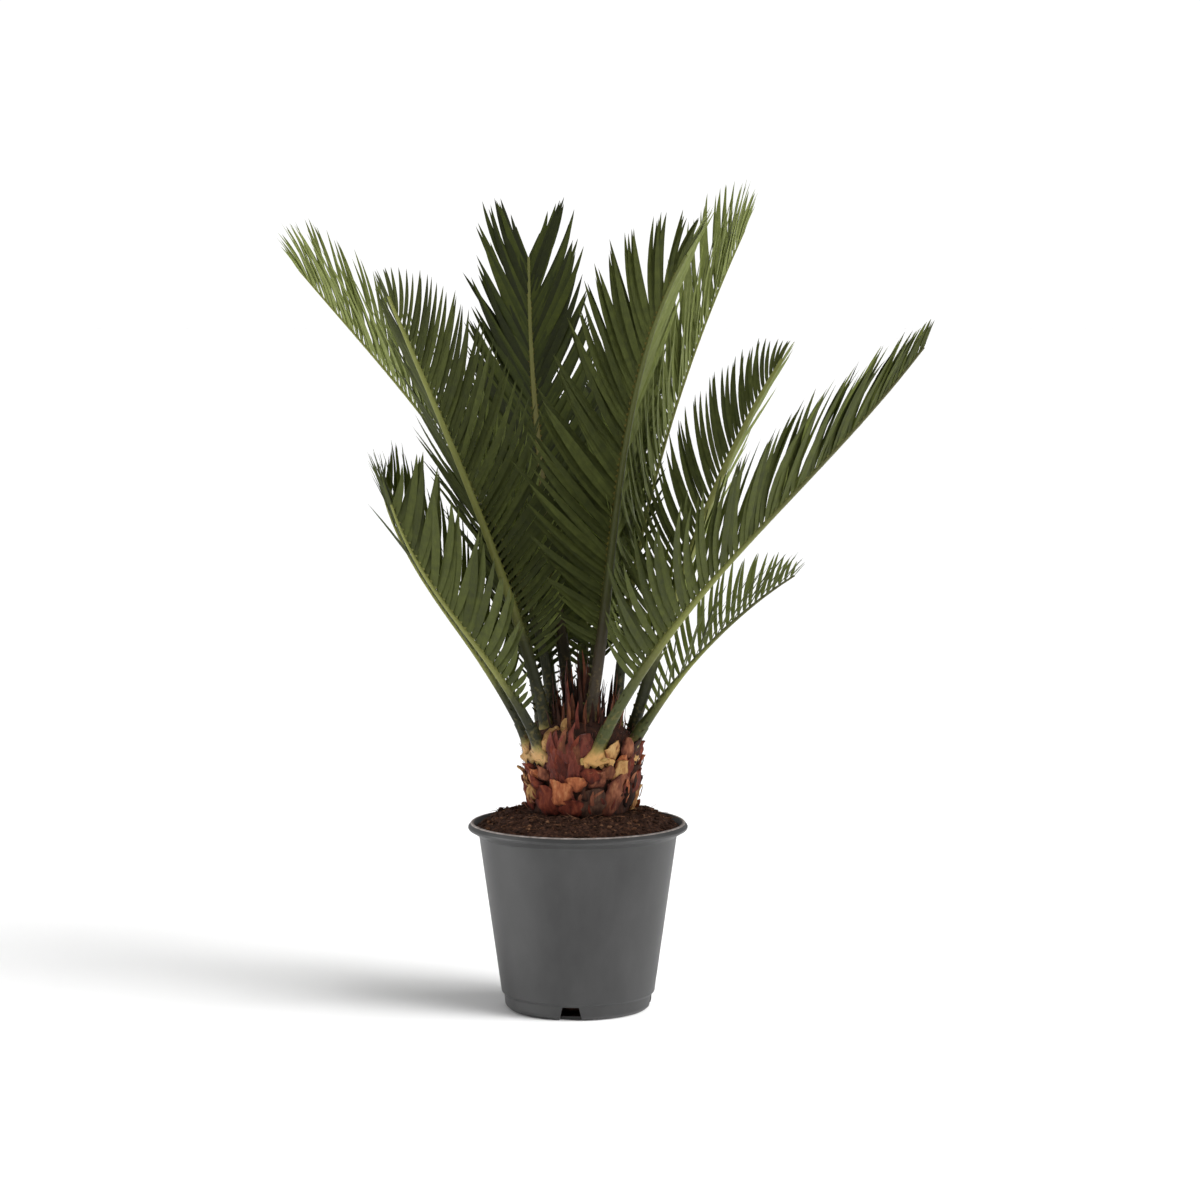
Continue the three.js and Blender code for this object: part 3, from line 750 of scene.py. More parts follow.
def add_thorns(shape, sizes, stations, chance):
    """Short spines in two rows, where the stalk has no leaflets."""
    distance = THORN_FROM
    while distance < LEAFLET_START * sizes["length"]:
        share = distance / sizes["length"]
        point, along, inner, across = station_at(stations, share)
        for side in (-1, 1):
            outward = across * side
            lean = math.radians(chance.uniform(*THORN_LEAN))
            root = point + outward * (0.75 * rib_radius(sizes, share)) + inner
            corners = blade_corners(root, *blade_directions(along, outward, lean),
                                    chance.uniform(*THORN_LENGTH), 1.0, 0, 0)
            shape.add(corners, BLADE_FACES, 1)
        distance += THORN_SPACING * chance.uniform(*THORN_SPACING_RANGE)


def add_stalk_foot(shape, sizes, stations):
    """The wide cream foot of the stalk, clasping the trunk below the seat."""
    ring, height = SEAT_RINGS[sizes["ring"]]
    radial, tangent = compass(sizes["seat"])
    foot = TRUNK_FOOT + radial * (ring + STALK_FOOT_OUT) + UP * (height - STALK_FOOT_DROP)
    seat = station_at(stations, 0.0)[0]
    end, _, inner, across = station_at(stations, STALK_RISE / sizes["length"])
    turns = turns_round(STALK_SIDES)
    shares = np.linspace(0, 1, STALK_RINGS)
    corners = []
    tones = []
    for share in shares:
        middle = lerp(lerp(foot, seat, share), lerp(seat, end, share), share)
        ease = float(smoothstep(share, 0, STALK_EASE))
        wide = unit(lerp(tangent, -across * np.sign(-np.dot(across, tangent)), ease))
        deep = unit(lerp(radial, -inner, ease))
        half_width = lerp(sizes["base"], RIB_SEAT_RADIUS + 0.3, ease)
        half_depth = lerp(STALK_FOOT_DEPTH, RIB_SEAT_RADIUS + 0.2, ease)
        if share == 0:
            half_width, half_depth = half_width * 0.8, half_depth * 0.7
        corners += [middle + wide * (math.cos(t) * half_width) + deep * (math.sin(t) * half_depth)
                    for t in turns]
        level = lerp(-STALK_FOOT_DROP, STALK_RISE, share)
        tones += [STALK_TONE * float(smoothstep(level, *STALK_CREAM))] * STALK_SIDES
    corners = np.array(corners)
    torn = np.repeat(1 - smoothstep(shares, 0.1, 0.7), STALK_SIDES)[:, None]
    rough = roughened(corners, 7, 3.4, sizes["seat"]) - corners
    rough += roughened(corners, 2.6, 1.3, sizes["seat"]) - corners
    shape.add(corners + rough * torn, tube_faces(STALK_RINGS, STALK_SIDES), 0, tones)
    add_torn_edge(shape, foot, radial, tangent, sizes)


def add_torn_edge(shape, foot, radial, tangent, sizes):
    """Cream tatters that hang from the lower edge of a stalk's foot."""
    chance = random.Random(300 + sizes["seat"])
    count = round(sizes["base"] * 0.6)
    for number in range(count):
        aside = lerp(-TATTER_REACH, TATTER_REACH, number / (count - 1)) * sizes["base"]
        root = foot + tangent * aside + radial * chance.uniform(1, 3)
        root = root + UP * chance.uniform(3, 6)
        along = unit(tangent * chance.gauss(0, 0.35) - radial * 0.12 - UP)
        wide = unit(np.cross(radial, along))
        corners = blade_corners(root, along, wide, np.cross(along, wide), chance.uniform(6, 11),
                                chance.uniform(2.0, 3.4), chance.uniform(-1, 1), 0.6)
        corners = roughened(corners, 4, 1.2, sizes["seat"] + number)
        shape.add(corners, BLADE_FACES, 0, chance.choice(TATTER_TONES))


def make_fronds():
    """Each frond's rib with its stalk, and its leaflets, in place of the frond's solid."""
    for number, sizes in enumerate(FRONDS, 1):
        chance = random.Random(100 + number)
        stations = grow_rib(sizes)
        name = f"frond_{number:02d}"
        rib = Shape()
        add_rib(rib, sizes, stations)
        add_thorns(rib, sizes, stations, chance)
        add_stalk_foot(rib, sizes, stations)
        rib.made(f"{name}_rib", [RIBS[sizes["rib"]], THORN], "leaf", name, 60)
        blades = Shape()
        add_leaflets(blades, sizes, stations, chance)
        greens = [*GREENS.values(), AXILS[sizes["rib"]]]
        blades.made(f"{name}_leaflets", greens, "leaf", name, 60)


# ---- trunk

CORE_SEGMENTS = 72
CORE_DEPTH = 4
CORE_FOOT = 0.3

# Old leaf bases that the front shows: bark, turn, height, half width, half height, and their form.
FRONT_SCALES = [
    ("dark", -23, 24, 11, 19, {}),
    ("dark", -20, 52, 9, 12, {"flare": 5}),
    ("mud", -77, 12, 18, 12, {"lift": 0.5, "flare": 1}),
    ("red", -101, 8, 13, 9, {"lift": 1}),
    ("tan", -159, 19, 9, 9, {"lift": 2}),
    ("red", -128, 12, 13, 15, {"lift": 2.5, "blunt": 0.75}),
    ("orange", -113, 21, 12, 10, {"lift": 3, "roll": 12, "flare": 2, "blunt": 0.85}),
    ("orange", -94, 29, 9, 6.5, {"lift": 3.5, "roll": -14, "flare": 2, "blunt": 0.8}),
    ("salmon", -52, 19, 10, 20, {"lift": 2.5, "roll": 22, "blunt": 0.6}),
    ("red", -38, 34, 9, 14, {"lift": 2, "roll": 10}),
    ("tan", -47, 37, 7.5, 10, {"lift": 4, "roll": 8, "hollow": 1}),
    ("salmon", -75, 33, 8, 8, {"lift": 3.5, "flare": 2, "hollow": 3.5, "blunt": 0.9}),
    ("orange", -147, 34, 12, 8, {"lift": 2.5, "flare": 4, "blunt": 0.8}),
    ("red", -141, 28, 8, 7, {"lift": 3.5, "flare": 3}),
    ("wool", -118, 42, 14, 16, {"lift": -0.5, "flare": 1}),
    ("wool", -98, 46, 14, 18, {"lift": -0.5, "flare": 1}),
    ("tan", -133, 65, 4.5, 11, {"lift": 1, "flare": 1, "blunt": 0.8}),
    ("wool", -86, 60, 9, 12, {"lift": 1}),
    ("tan", -56, 55, 7, 9, {"lift": 1, "flare": 5, "roll": -25, "blunt": 1.0}),
    ("red", -80, 36, 9, 6, {"lift": 4.5, "flare": 2, "roll": 12, "blunt": 0.8}),
    ("dry", -63, 38, 7, 6, {"lift": 4.5, "flare": 2, "roll": -10, "blunt": 0.7}),
    ("red", -148, 39, 8, 6, {"lift": 4.5, "flare": 2, "roll": -12, "blunt": 0.8}),
    ("salmon", -132, 37, 7, 7, {"lift": 4.5, "flare": 2, "roll": 16, "blunt": 0.7}),
    ("orange", -46, 46, 6, 7, {"lift": 3.5}),
    ("salmon", -36, 57, 8, 11, {"lift": 3}),
]
FRONT_TURNS = (195, 345)
BACK_BARKS = ("orange", "red", "salmon", "dark", "red", "tan", "orange", "dark")
BACK_SCALE_COUNT = 46
BACK_LEVELS = (8, 64)
BACK_HALF_SIZE = (12.5, 12)
BACK_FORM = {"lift": (1.5, 3.5), "flare": (2, 5), "roll": (-10, 10), "blunt": (0.45, 0.85)}
SCALE_GRID = 11
SCALE_THICKNESS = 3.0
# The size, height and change of seed of the noises that roughen a scale, from coarse to fine.
SCALE_NOISES = ((13, 2.6, 0), (4.5, 1.5, 0), (1.8, 0.5, 0.5))

# Torn fibres over the woolly hollow at the front, then loose flakes outside it, as ranges.
# checked holds the shares of a flake's length that keep off the stalks' feet.
FRONT_WOOL = (-131, -84)
FRONT_WOOL_FOOT = 16
FLAKES = [
    {"count": 70, "turn": FRONT_WOOL, "height": (20, 54), "length": (18, 32),
     "half_width": (2.4, 4.8), "out": (-1.5, 1.0), "tilt": 9, "lean": (-3, 4), "seed": 200,
     "checked": (0, 0.5, 1), "barks": ("wool", "wool", "wool", "wool", "red", "dry")},
    {"count": 170, "turn": (0, 360), "height": (2, 60), "length": (6, 15),
     "half_width": (1.0, 2.6), "out": (-1.0, 3.0), "tilt": 26, "lean": (0, 22), "seed": 400,
     "checked": (0, 1), "barks": ("dry", "red", "dark", "orange", "dark", "salmon")},
]
STALK_FOOT_SPAN = (-11, 14)

# Cream stumps at the front of the crown: sideways, back, height, half width and length.
OLD_BUDS = [(-13, -28, 69, 5.5, 14), (-21, -25, 56, 6, 20)]
BUD_RINGS = 9
BUD_SIDES = 14
BUD_BARKS = ("dry", "dark", "dry", "dark", "wool")
BUD_SCALE_COUNT = 92
BUD_SCALE_RADIUS = 34
BUD_SCALE_LEVELS = (74, 54)
STRAND_COUNT = 900


def bark_slot(name):
    """A bark's material number on the trunk."""
    return list(BARKS).index(name)


def trunk_radius(height):
    """The trunk core's radius at a height above the soil."""
    if height <= TRUNK_SHOULDER_HEIGHT:
        share = math.sin(math.pi / 2 * max(height, 0) / TRUNK_SHOULDER_HEIGHT)
        return lerp(TRUNK_FOOT_RADIUS, TRUNK_BELLY_RADIUS, share)
    rise = min((height - TRUNK_SHOULDER_HEIGHT) / (TRUNK_HEIGHT - TRUNK_SHOULDER_HEIGHT), 1)
    return TRUNK_BELLY_RADIUS * math.sqrt(1 - rise ** 2)


def on_trunk(turn, height, out):
    """A point on the trunk's surface, stood out from it, in the part's frame."""
    return TRUNK_FOOT + compass(turn)[0] * (trunk_radius(height) + out) + UP * height


def on_stalk_foot(turn, height):
    """Whether a place on the trunk lies over the foot of a stalk of the two outer rings."""
    below, above = STALK_FOOT_SPAN
    for sizes in FRONDS:
        aside = abs((turn - sizes["seat"] + 180) % 360 - 180)
        level = SEAT_RINGS[sizes["ring"]][1]
        reach = math.degrees(1.1 * sizes["base"] / TRUNK_BELLY_RADIUS)
        if sizes["ring"] != "inner" and aside < reach and below < height - level < above:
            return True
    return False


def add_core(shape):
    """The trunk below its scales, cut flat at the soil and domed at the crown."""
    crown = TRUNK_HEIGHT - TRUNK_SHOULDER_HEIGHT
    heights = np.concatenate([
        np.linspace(CORE_FOOT, TRUNK_SHOULDER_HEIGHT, 16),
        TRUNK_SHOULDER_HEIGHT + crown * np.sin(np.linspace(0.1, math.pi / 2 - 0.08, 14)),
    ])
    profile = [(trunk_radius(height) - CORE_DEPTH, height) for height in heights]
    corners = roughened(turned_corners(profile, CORE_SEGMENTS), 9, 2.4, 1)
    corners[:CORE_SEGMENTS, 2] = CORE_FOOT
    shape.add(corners + TRUNK_FOOT, tube_faces(len(profile), CORE_SEGMENTS), 0)


def scale_faces():
    """Faces of a scale: a square grid in front, another behind it, and the rim between them."""
    back = SCALE_GRID ** 2
    grid = np.arange(back).reshape(SCALE_GRID, SCALE_GRID)
    faces = []
    for first in grid[:-1, :-1].ravel().tolist():
        above = first + SCALE_GRID
        faces.append((first, first + 1, above + 1, above))
        faces.append((back + first, back + above, back + above + 1, back + first + 1))
    rim = np.concatenate([grid[0], grid[1:, -1], grid[-1, -2::-1], grid[-2:0:-1, 0]]).tolist()
    for corner, after in zip(rim, rim[1:] + rim[:1]):
        faces.append((corner, back + corner, back + after, after))
    return faces


SCALE_FACES = scale_faces()


def add_scale(shape, slot, turn, height, half_width, half_height, seed, lift=2.0, flare=3.0,
              roll=0.0, blunt=0.5, hollow=0.0):
    """One old leaf base: a crowned, rough-edged shield that clasps the trunk and lifts at its top.

    lift is how far its middle stands out and flare how much further its top does. blunt is its
    width at the top as a share, and hollow the depth of the dent in its upper half.
    """
    across, up = np.meshgrid(*[np.linspace(-1, 1, SCALE_GRID)] * 2)
    across, up = across.ravel(), up.ravel()
    upper = np.clip(up, 0, 1)
    lower = np.clip(-up, 0, 1)
    outline = (1 - (1 - blunt) * upper ** 1.6) * (1 - 0.35 * lower ** 2)
    side = across * outline * half_width
    rise = up * half_height * (1 - 0.12 * across ** 2)
    angle = math.radians(roll)
    sides = side * math.cos(angle) + rise * math.sin(angle)
    levels = height + (rise * math.cos(angle) - side * math.sin(angle))
    dent = hollow * np.exp(-((across / 0.5) ** 2 + ((up - 0.25) / 0.5) ** 2))
    front = lift + flare * upper ** 2 - 2.2 * across ** 2 - 3.0 * lower ** 2 - dent
    border = np.maximum(np.abs(across), np.abs(up))
    back = front - SCALE_THICKNESS * (1 - 0.45 * border ** 4)
    # Painted shade: the tone darkens the side and lower borders, the lower half and the dent, and
    # is kept off the top.
    tone = np.clip(0.9 * np.maximum(np.abs(across), lower) ** 4 + 0.3 * lower + 0.25 * dent
                   - 0.35 * upper ** 3, 0, 1)
    corners = []
    for outs in (front, back):
        for aside, level, out in zip(sides, levels, outs):
            around = turn + math.degrees(aside / max(trunk_radius(level), 20))
            corners.append(on_trunk(around, max(level, 0.5), out))
    for size, depth, change in SCALE_NOISES:
        corners = roughened(corners, size, depth, seed + change)
    shape.add(corners, SCALE_FACES, slot, np.tile(tone, 2))


def add_scales(shape, chance):
    """Scattered old leaf bases at the back and sides, then the front's own."""
    for index in range(BACK_SCALE_COUNT):
        share = index / (BACK_SCALE_COUNT - 1)
        turn = (index * GOLDEN_ANGLE) % 360
        level = lerp(*BACK_LEVELS, share)
        if FRONT_TURNS[0] < turn < FRONT_TURNS[1] or on_stalk_foot(turn, level + 6):
            continue
        slot = bark_slot(chance.choice(BACK_BARKS))
        turn += chance.uniform(-4, 4)
        level += chance.uniform(-2, 2)
        half_width, half_height = (size * (1 - 0.2 * share) for size in BACK_HALF_SIZE)
        half_width *= chance.uniform(0.85, 1.1)
        half_height *= chance.uniform(0.85, 1.15)
        form = {name: chance.uniform(*ends) for name, ends in BACK_FORM.items()}
        add_scale(shape, slot, turn, level, half_width, half_height, 20 + index, **form)
    for number, (name, *sizes, form) in enumerate(FRONT_SCALES):
        add_scale(shape, bark_slot(name), *sizes, 80 + number, **form)


def add_flake(shape, kind, turn, height, length, seed, chance):
    """A narrow torn flake that stands up against the trunk from its root."""
    slot = bark_slot(chance.choice(kind["barks"]))
    half_width = chance.uniform(*kind["half_width"])
    root = on_trunk(turn, height, chance.uniform(*kind["out"]))
    outward, _ = compass(turn)
    upward = rotated(UP, outward, chance.gauss(0, kind["tilt"]))
    lean = math.radians(chance.uniform(*kind["lean"]))
    along = unit(upward + outward * math.tan(lean))
    wide = unit(np.cross(outward, along))
    corners = blade_corners(root, along, wide, np.cross(along, wide), length, half_width,
                            0.08 * length, 0.05 * length)
    # The tone is painted shade, darkest at the flake's root against the trunk.
    shape.add(roughened(corners, 7, 1.6, seed), BLADE_FACES, slot, 0.7 * (1 - BLADE_REACH) ** 2)


def add_flakes(shape, chance):
    """Torn fibres and loose flakes, where they don't cover the feet of the stalks."""
    for kind in FLAKES:
        for index in range(kind["count"]):
            turn = chance.uniform(*kind["turn"])
            height = chance.uniform(*kind["height"])
            length = chance.uniform(*kind["length"])
            loose_in_wool = (FRONT_WOOL[0] < turn - 360 < FRONT_WOOL[1]
                             and height > FRONT_WOOL_FOOT)
            levels = [height + share * length for share in kind["checked"]]
            if loose_in_wool or any(on_stalk_foot(turn, level) for level in levels):
                continue
            add_flake(shape, kind, turn, height, length, kind["seed"] + index, chance)


def add_old_buds(shape):
    """Short cream stumps of leaves that were cut off at the front of the crown."""
    rings = np.linspace(0, 1, BUD_RINGS)
    turns = turns_round(BUD_SIDES)
    # The tone is painted shade, darkest at each stump's root against the crown.
    tone = np.repeat(0.9 * (1 - rings) ** 2, BUD_SIDES)
    for number, (side, back, height, half_width, length) in enumerate(OLD_BUDS):
        root = TRUNK_FOOT + [side, back, height]
        widths = half_width * np.sqrt(np.maximum(1 - (rings / 1.02) ** 2.4, 0))
        corners = [root + [width * math.cos(t), width * 0.7 * math.sin(t) - 0.12 * length * ring,
                           length * ring]
                   for ring, width in zip(rings, widths) for t in turns]
        corners = roughened(corners, 6, 1.0, 140 + number)
        shape.add(corners, tube_faces(BUD_RINGS, BUD_SIDES), bark_slot("tan"), tone)


def add_dry_scales(shape, chance):
    """Slim dry bud scales that stand up between the stalks in the middle of the crown."""
    for index in range(BUD_SCALE_COUNT):
        outward, around = compass(index * GOLDEN_ANGLE)
        outer = math.sqrt((index + 0.5) / BUD_SCALE_COUNT)
        lean = math.radians(lerp(2, 9, outer) + chance.uniform(-4, 4))
        along = outward * math.sin(lean) + UP * math.cos(lean)
        level = lerp(*BUD_SCALE_LEVELS, outer ** 2)
        root = TRUNK_FOOT + outward * (BUD_SCALE_RADIUS * outer) + UP * level
        length = chance.uniform(42, 76) * lerp(1, 0.62, outer)
        slot = bark_slot(chance.choice(BUD_BARKS))
        corners = blade_corners(root, along, around, np.cross(around, along), length,
                                chance.uniform(1.2, 2.8), chance.uniform(-3, 3),
                                chance.uniform(-2, 3))
        corners = roughened(corners, 9, 1.2, 40 + index)
        # The tone is painted shade, darkest at each scale's foot down in the crown.
        shape.add(corners, BLADE_FACES, slot, 0.8 * (1 - BLADE_REACH))


def add_wool(shape, chance):
    """Woolly fibres of the crown and loose threads on the scales."""
    for _ in range(STRAND_COUNT):
        turn = chance.uniform(0, 360)
        height = chance.uniform(28, 80)
        root = on_trunk(turn, height, chance.uniform(-1, 3))
        stray = [chance.gauss(0, 0.35), chance.gauss(0, 0.35), chance.uniform(0.2, 1.2)]
        add_strand(shape, chance.choice((0, 0, 1, 2)), root, compass(turn)[0] * 0.4 + stray,
                   chance.uniform(2, 6), chance.uniform(0.14, 0.3), chance.uniform(0, 2), chance)


def make_trunk():
    """The trunk's core with its scales, flakes and buds, and its wool, in place of its solid."""
    chance = random.Random(7)
    scales = Shape()
    add_core(scales)
    add_scales(scales, chance)
    add_flakes(scales, chance)
    add_old_buds(scales)
    add_dry_scales(scales, chance)
    scales.made("caudex_scales", BARKS.values(), "trunk_scales", "caudex", 45)
    wool = Shape()
    add_wool(wool, chance)
    barks = [BARKS[name] for name in ("wool", "dry", "dark")]
    wool.made("caudex_wool", barks, "trunk_scales", "caudex", 50)


# ---- soil

SOIL_SEGMENTS = 200
SOIL_RINGS = 44
SOIL_MIDDLE_RADIUS = 30
SOIL_SINK = 0.6
# Noises of the soil's surface: their height, their size and where they are read.
SOIL_LUMPS = ((2.6, 11, 3.1), (1.5, 4.5, 8.7), (0.6, 1.6, 5.2))
BITS_FROM_RADIUS = 46
CRUMB_COUNT = 800
CRUMB_SIZES = (0.6, 0.8, 1.0, 1.4, 2.0)
CRUMB_ROWS = 4
CRUMB_COLUMNS = 7
FIBRE_COUNT = 260


def soil_height(x, y):
    """The height of the soil's crumbly surface, which is smooth at the pot's wall."""
    inward = SOIL_EDGE_RADIUS - math.hypot(x, y)
    share = float(np.clip(inward / (SOIL_EDGE_RADIUS - SOIL_MOUND_RADIUS), 0, 1))
    height = lerp(SOIL_EDGE_HEIGHT, SOIL_MOUND_HEIGHT, 1 - (1 - share) ** 1.5)
    lumps = sum(rise * noise.noise((x / size, y / size, place)) for rise, size, place in SOIL_LUMPS)
    return height + lumps * float(smoothstep(inward, 0, 6)) - SOIL_SINK


def soil_place(chance, margin):
    """A place on the soil, between the trunk and a margin from the pot's wall."""
    radius = math.sqrt(chance.uniform(BITS_FROM_RADIUS ** 2, (SOIL_EDGE_RADIUS - margin) ** 2))
    turn = chance.uniform(0, 2 * math.pi)
    return radius * math.cos(turn), radius * math.sin(turn)


def add_crumb(shape, slot, middle, size, chance):
    """A rough lump of soil or bark: a ball of few faces, squashed and knocked about."""
    stretch = [chance.uniform(0.7, 1.5), chance.uniform(0.7, 1.5), chance.uniform(0.45, 0.9)]
    spin = chance.uniform(0, 2 * math.pi)
    corners = []
    for row in range(CRUMB_ROWS):
        slope = math.pi * (row + 0.6) / (CRUMB_ROWS + 0.2)
        for column in range(CRUMB_COLUMNS):
            turn = 2 * math.pi * column / CRUMB_COLUMNS
            radius = size * chance.uniform(0.78, 1.15)
            x = radius * math.sin(slope) * math.cos(turn) * stretch[0]
            y = radius * math.sin(slope) * math.sin(turn) * stretch[1]
            z = radius * math.cos(slope) * stretch[2]
            corners.append([middle[0] + x * math.cos(spin) - y * math.sin(spin),
                            middle[1] + x * math.sin(spin) + y * math.cos(spin), middle[2] + z])
    shape.add(corners, tube_faces(CRUMB_ROWS, CRUMB_COLUMNS), slot)


def make_soil():
    """The soil's bed, which fills the pot just clear of its wall, and the loose bits on it."""
    foot = FOOT_RADIUS - WALL_THICKNESS - 1.2
    under_lip = WALL_RADIUS_UNDER_LIP - WALL_THICKNESS - 1.0
    filling = [(0.6 * foot, FLOOR_THICKNESS + 0.3), (foot, FOOT_HEIGHT + 3),
               (under_lip, RIM_HEIGHT - LIP_HEIGHT)]
    radii = np.linspace(SOIL_MIDDLE_RADIUS, SOIL_EDGE_RADIUS, SOIL_RINGS)[::-1]
    surface = turned_corners([(radius, 0) for radius in radii], SOIL_SEGMENTS)
    surface[:, 2] = [soil_height(x, y) for x, y, _ in surface]
    bed = Shape()
    bed.add(np.concatenate([turned_corners(filling, SOIL_SEGMENTS), surface]),
            tube_faces(len(filling) + SOIL_RINGS, SOIL_SEGMENTS), 0)
    bed.made("soil_bed", [EARTH], "soil", "soil", 80)
    bits = Shape()
    chance = random.Random(3)
    for _ in range(CRUMB_COUNT):
        x, y = soil_place(chance, 3)
        size = chance.choice(CRUMB_SIZES) * chance.uniform(0.8, 1.2)
        middle = [x, y, soil_height(x, y) + size * 0.3]
        add_crumb(bits, chance.choice((0, 0, 0, 1)), middle, size, chance)
    for _ in range(FIBRE_COUNT):
        x, y = soil_place(chance, 8)
        heading = chance.uniform(0, 2 * math.pi)
        direction = [math.cos(heading), math.sin(heading), chance.uniform(-0.05, 0.35)]
        length = chance.uniform(4, 14)
        end = math.hypot(x + length * direction[0], y + length * direction[1])
        if end <= SOIL_EDGE_RADIUS - 2:
            add_strand(bits, chance.choice((0, 1, 1)), [x, y, soil_height(x, y) + 0.8], direction,
                       length, chance.uniform(0.2, 0.55), 1.5, chance)
    bits.made("soil_bits", [CRUMB, CHIP], "soil", "soil", 80)


# ---- pot

POT_SEGMENTS = 180
POT_FILLET = 1.6
FILLET_STEPS = 4
POT_SHARP = 38
# The worn strip on top of the lip, made lighter still by a painted highlight of its lit crest: its
# lowest level and its inner radius.
WORN_AND_HIGHLIT_FROM = (RIM_HEIGHT - 1.4, LIP_CREST_RADIUS - 1)


def filleted(profile, radius):
    """A profile with its corners rounded, but for its first and last point."""
    rounded = [profile[0]]
    for before, corner, after in zip(profile, profile[1:], profile[2:]):
        before, corner, after = (np.array(point, float) for point in (before, corner, after))
        room = min([radius] + [np.linalg.norm(end - corner) * 0.45 for end in (before, after)])
        start = corner + unit(before - corner) * room
        end = corner + unit(after - corner) * room
        for share in np.linspace(0, 1, FILLET_STEPS + 1):
            rounded.append(tuple(lerp(lerp(start, corner, share), lerp(corner, end, share), share)))
    rounded.append(profile[-1])
    return rounded


def make_pot():
    """The pot's wall, from the middle of its underside out, over the lip and back inside."""
    lip_bottom = RIM_HEIGHT - LIP_HEIGHT
    outline = filleted([
        (1, 0),
        (FOOT_RADIUS - 4.5, 0),
        (FOOT_RADIUS - 0.8, 3.4),
        (FOOT_RADIUS, FOOT_HEIGHT - 1.6),
        (BAND_RADIUS, FOOT_HEIGHT),
        (WALL_RADIUS_UNDER_LIP, lip_bottom),
        (RIM_RADIUS - 0.6, LIP_EDGE_HEIGHT - 1.8),
        (RIM_RADIUS, LIP_EDGE_HEIGHT),
        (LIP_CREST_RADIUS + 1.2, RIM_HEIGHT - 0.2),
        (LIP_CREST_RADIUS - 0.9, RIM_HEIGHT),
        (LIP_CREST_RADIUS - 3.1, LIP_EDGE_HEIGHT),
        (WALL_RADIUS_UNDER_LIP - WALL_THICKNESS, lip_bottom),
        (FOOT_RADIUS - WALL_THICKNESS, FOOT_HEIGHT),
        (FOOT_RADIUS - WALL_THICKNESS, FLOOR_THICKNESS),
        (1, FLOOR_THICKNESS),
    ], POT_FILLET)
    slots = []
    for (radius, height), (next_radius, next_height) in zip(outline, outline[1:]):
        worn_and_highlit = ((height + next_height) / 2 > WORN_AND_HIGHLIT_FROM[0]
                and (radius + next_radius) / 2 > WORN_AND_HIGHLIT_FROM[1])
        slots += [int(worn_and_highlit)] * POT_SEGMENTS
    shape = Shape()
    shape.add(turned_corners(outline, POT_SEGMENTS), tube_faces(len(outline), POT_SEGMENTS),
              slots + [0, 0])
    pot = shape.made("pot_shell", [PLASTIC, WORN_AND_HIGHLIT_PLASTIC], "pot_plastic", "pot", POT_SHARP)
    for index in range(NOTCH_COUNT):
        cut_notch(pot, NOTCH_TURN + 360 / NOTCH_COUNT * index)
    pot.data.set_sharp_from_angle(angle=math.radians(POT_SHARP))
    return pot


def cut_notch(pot, turn):
    """Cuts one drainage notch, a trapezium through the foot of the wall."""
    outward, around = compass(turn)
    bottom, top = NOTCH_BOTTOM_WIDTH / 2, NOTCH_TOP_WIDTH / 2
    section = ((-bottom, -1), (bottom, -1), (top, NOTCH_HEIGHT), (-top, NOTCH_HEIGHT))
    corners = []
    for depth in (FOOT_RADIUS - NOTCH_DEPTH, FOOT_RADIUS + NOTCH_DEPTH):
        for aside, height in section:
            corners.append(outward * depth + around * aside + UP * height)
    mesh = bpy.data.meshes.new("notch_cutter")
    mesh.from_pydata((np.array(corners) * MM).tolist(), [], tube_faces(2, 4))
    cutter = placed("notch_cutter", mesh)
    fixed_normals(cutter)
    modifier = pot.modifiers.new("notch", "BOOLEAN")
    modifier.operation = "DIFFERENCE"
    modifier.solver = "EXACT"
    modifier.object = cutter
    bpy.context.view_layer.update()
    ready = pot.evaluated_get(bpy.context.evaluated_depsgraph_get())
    cut = bpy.data.meshes.new_from_object(ready)
    pot.modifiers.clear()
    pot.data = cut
    bpy.data.objects.remove(cutter)


# ---- floor, light and camera
# Places and sizes here are in metres.

CAMERA_PLACE = (0.019, -3.0, 0.630)
CAMERA_PITCH = 5.26
CAMERA_SENSOR = 36.0
CAMERA_LENS = 105.3
CAMERA_CLIP = (0.05, 200)
FLOOR_HALF = 40
FLOOR_LEVEL = -0.0003
SKY_STRENGTH = 0.335
SEEN_SKY_STRENGTH = 1.05
PLANT_AIM = (0, 0, 0.3)
FLOOR_AIM = (0, 0, 0)
POT_AIM = (0, 0, 0.08)


def make_floor():
    """The paper floor, a hair below the pot."""
    mesh = bpy.data.meshes.new("floor")
    corners = [(x * FLOOR_HALF, y * FLOOR_HALF, FLOOR_LEVEL)
               for x, y in ((-1, -1), (1, -1), (1, 1), (-1, 1))]
    mesh.from_pydata(corners, [], [(0, 1, 2, 3)])
    mesh.materials.append(PAPER)
    floor = placed("floor", mesh)
    return floor


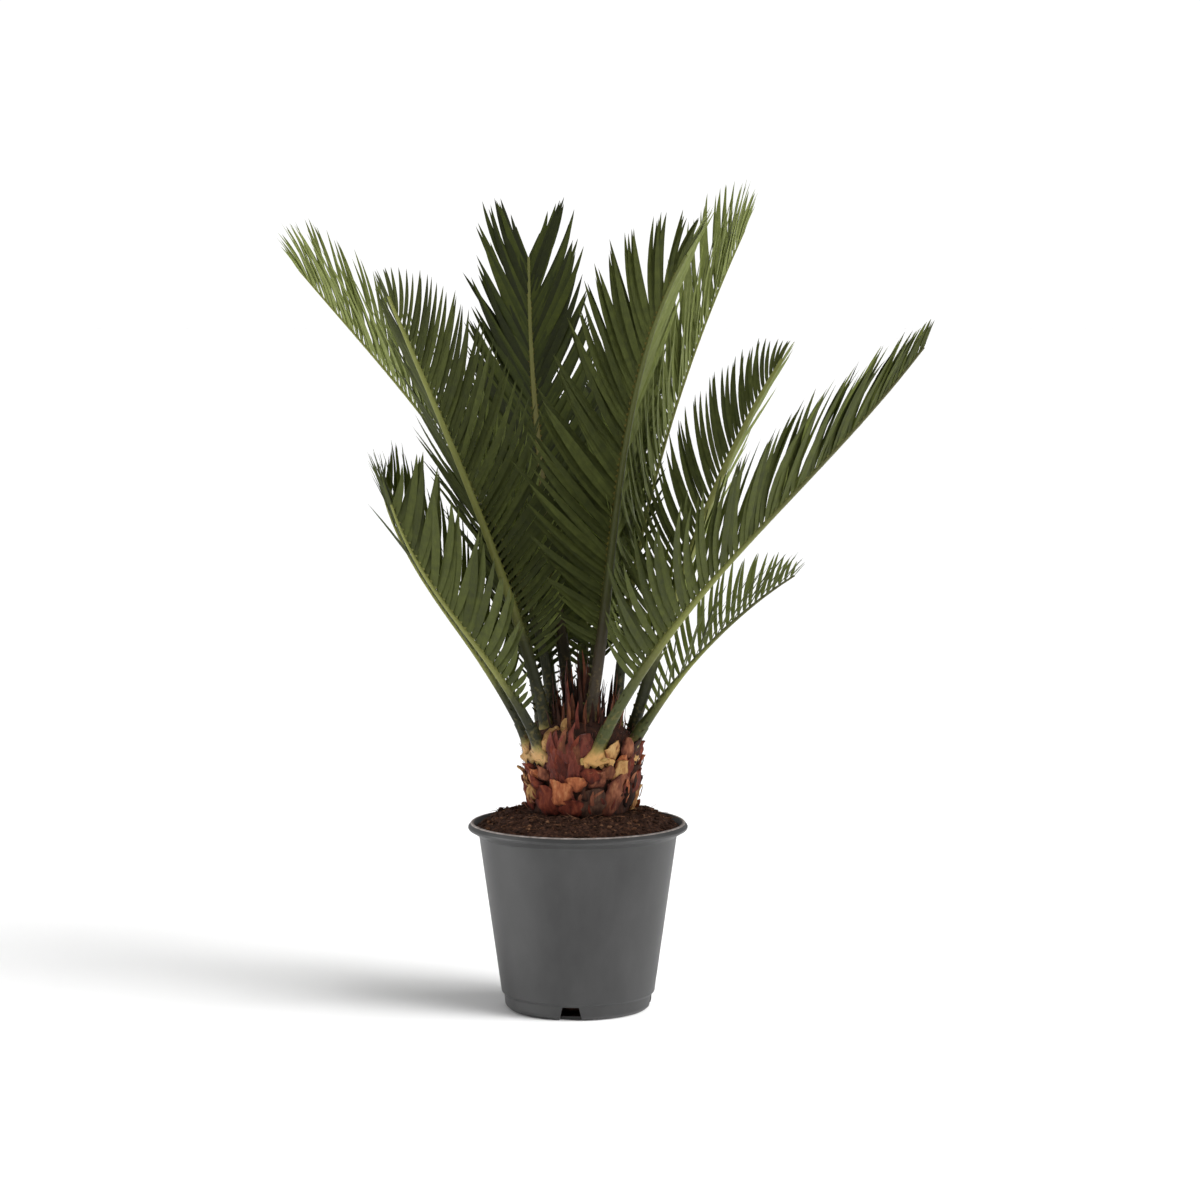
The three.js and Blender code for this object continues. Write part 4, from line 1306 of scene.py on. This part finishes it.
def make_surroundings():
    """White surroundings, which the camera sees brighter than they shine."""
    world = bpy.data.worlds.new("studio")
    world.use_nodes = True
    tree = world.node_tree
    shining = tree.nodes["Background"]
    seen = tree.nodes.new("ShaderNodeBackground")
    for background, strength in ((shining, SKY_STRENGTH), (seen, SEEN_SKY_STRENGTH)):
        background.inputs["Color"].default_value = (1, 1, 1, 1)
        background.inputs["Strength"].default_value = strength
    rays = tree.nodes.new("ShaderNodeLightPath")
    mix = tree.nodes.new("ShaderNodeMixShader")
    tree.links.new(rays.outputs["Is Camera Ray"], mix.inputs["Fac"])
    tree.links.new(shining.outputs["Background"], mix.inputs[1])
    tree.links.new(seen.outputs["Background"], mix.inputs[2])
    tree.links.new(mix.outputs["Shader"], tree.nodes["World Output"].inputs["Surface"])
    bpy.context.scene.world = world


def lamp(name, kind, place, strength, size, aim=PLANT_AIM, only=None):
    """A lamp that shines toward its aim, and lights only one piece where that is given."""
    data = bpy.data.lights.new(name, kind)
    data.energy = strength
    if kind == "AREA":
        data.shape = "RECTANGLE"
        data.size, data.size_y = size
    else:
        data.angle = math.radians(size)
    made = placed(name, data)
    made.location = place
    made.rotation_euler = (Vector(aim) - Vector(place)).to_track_quat("-Z", "Y").to_euler()
    made.visible_camera = False
    if only:
        lit = bpy.data.collections.new(f"lit_{only.name}")
        lit.objects.link(only)
        made.light_linking.receiver_collection = lit


def make_light(floor, pot):
    """Soft boxes round the plant and beside the pot, and low suns for the floor's soft shadow."""
    make_surroundings()
    lamp("left_box", "AREA", (-2.4, -0.55, 1.2), 14.5, (1.2, 1.8))
    lamp("right_box", "AREA", (2.4, -0.75, 1.3), 16.5, (1.2, 1.8))
    lamp("top_box", "AREA", (0.2, -0.6, 2.6), 9, (1.6, 1.6))
    lamp("floor_soft_sun", "SUN", (2.2, -0.8, 1.1), 4.2, 62, FLOOR_AIM, floor)
    lamp("floor_narrow_sun", "SUN", (2.2, -1.15, 0.92), 1.65, 26, FLOOR_AIM, floor)
    lamp("pot_left_box", "AREA", (-1.6, -0.25, 0.25), 20, (0.5, 0.9), POT_AIM, pot)
    lamp("pot_right_box", "AREA", (1.5, -0.8, 0.25), 12.5, (0.5, 0.9), POT_AIM, pot)


def make_camera():
    """The camera, which looks along +Y and a little down."""
    data = bpy.data.cameras.new("camera")
    data.sensor_width = CAMERA_SENSOR
    data.lens = CAMERA_LENS
    data.clip_start, data.clip_end = CAMERA_CLIP
    camera = placed("camera", data)
    camera.location = CAMERA_PLACE
    camera.rotation_euler = (math.radians(90 - CAMERA_PITCH), 0, 0)
    bpy.context.scene.camera = camera


make_camera()
pot = make_pot()
make_soil()
make_trunk()
make_fronds()
make_light(make_floor(), pot)
bpy.context.scene.view_settings.view_transform = "Standard"
bpy.context.scene.view_settings.look = "None"
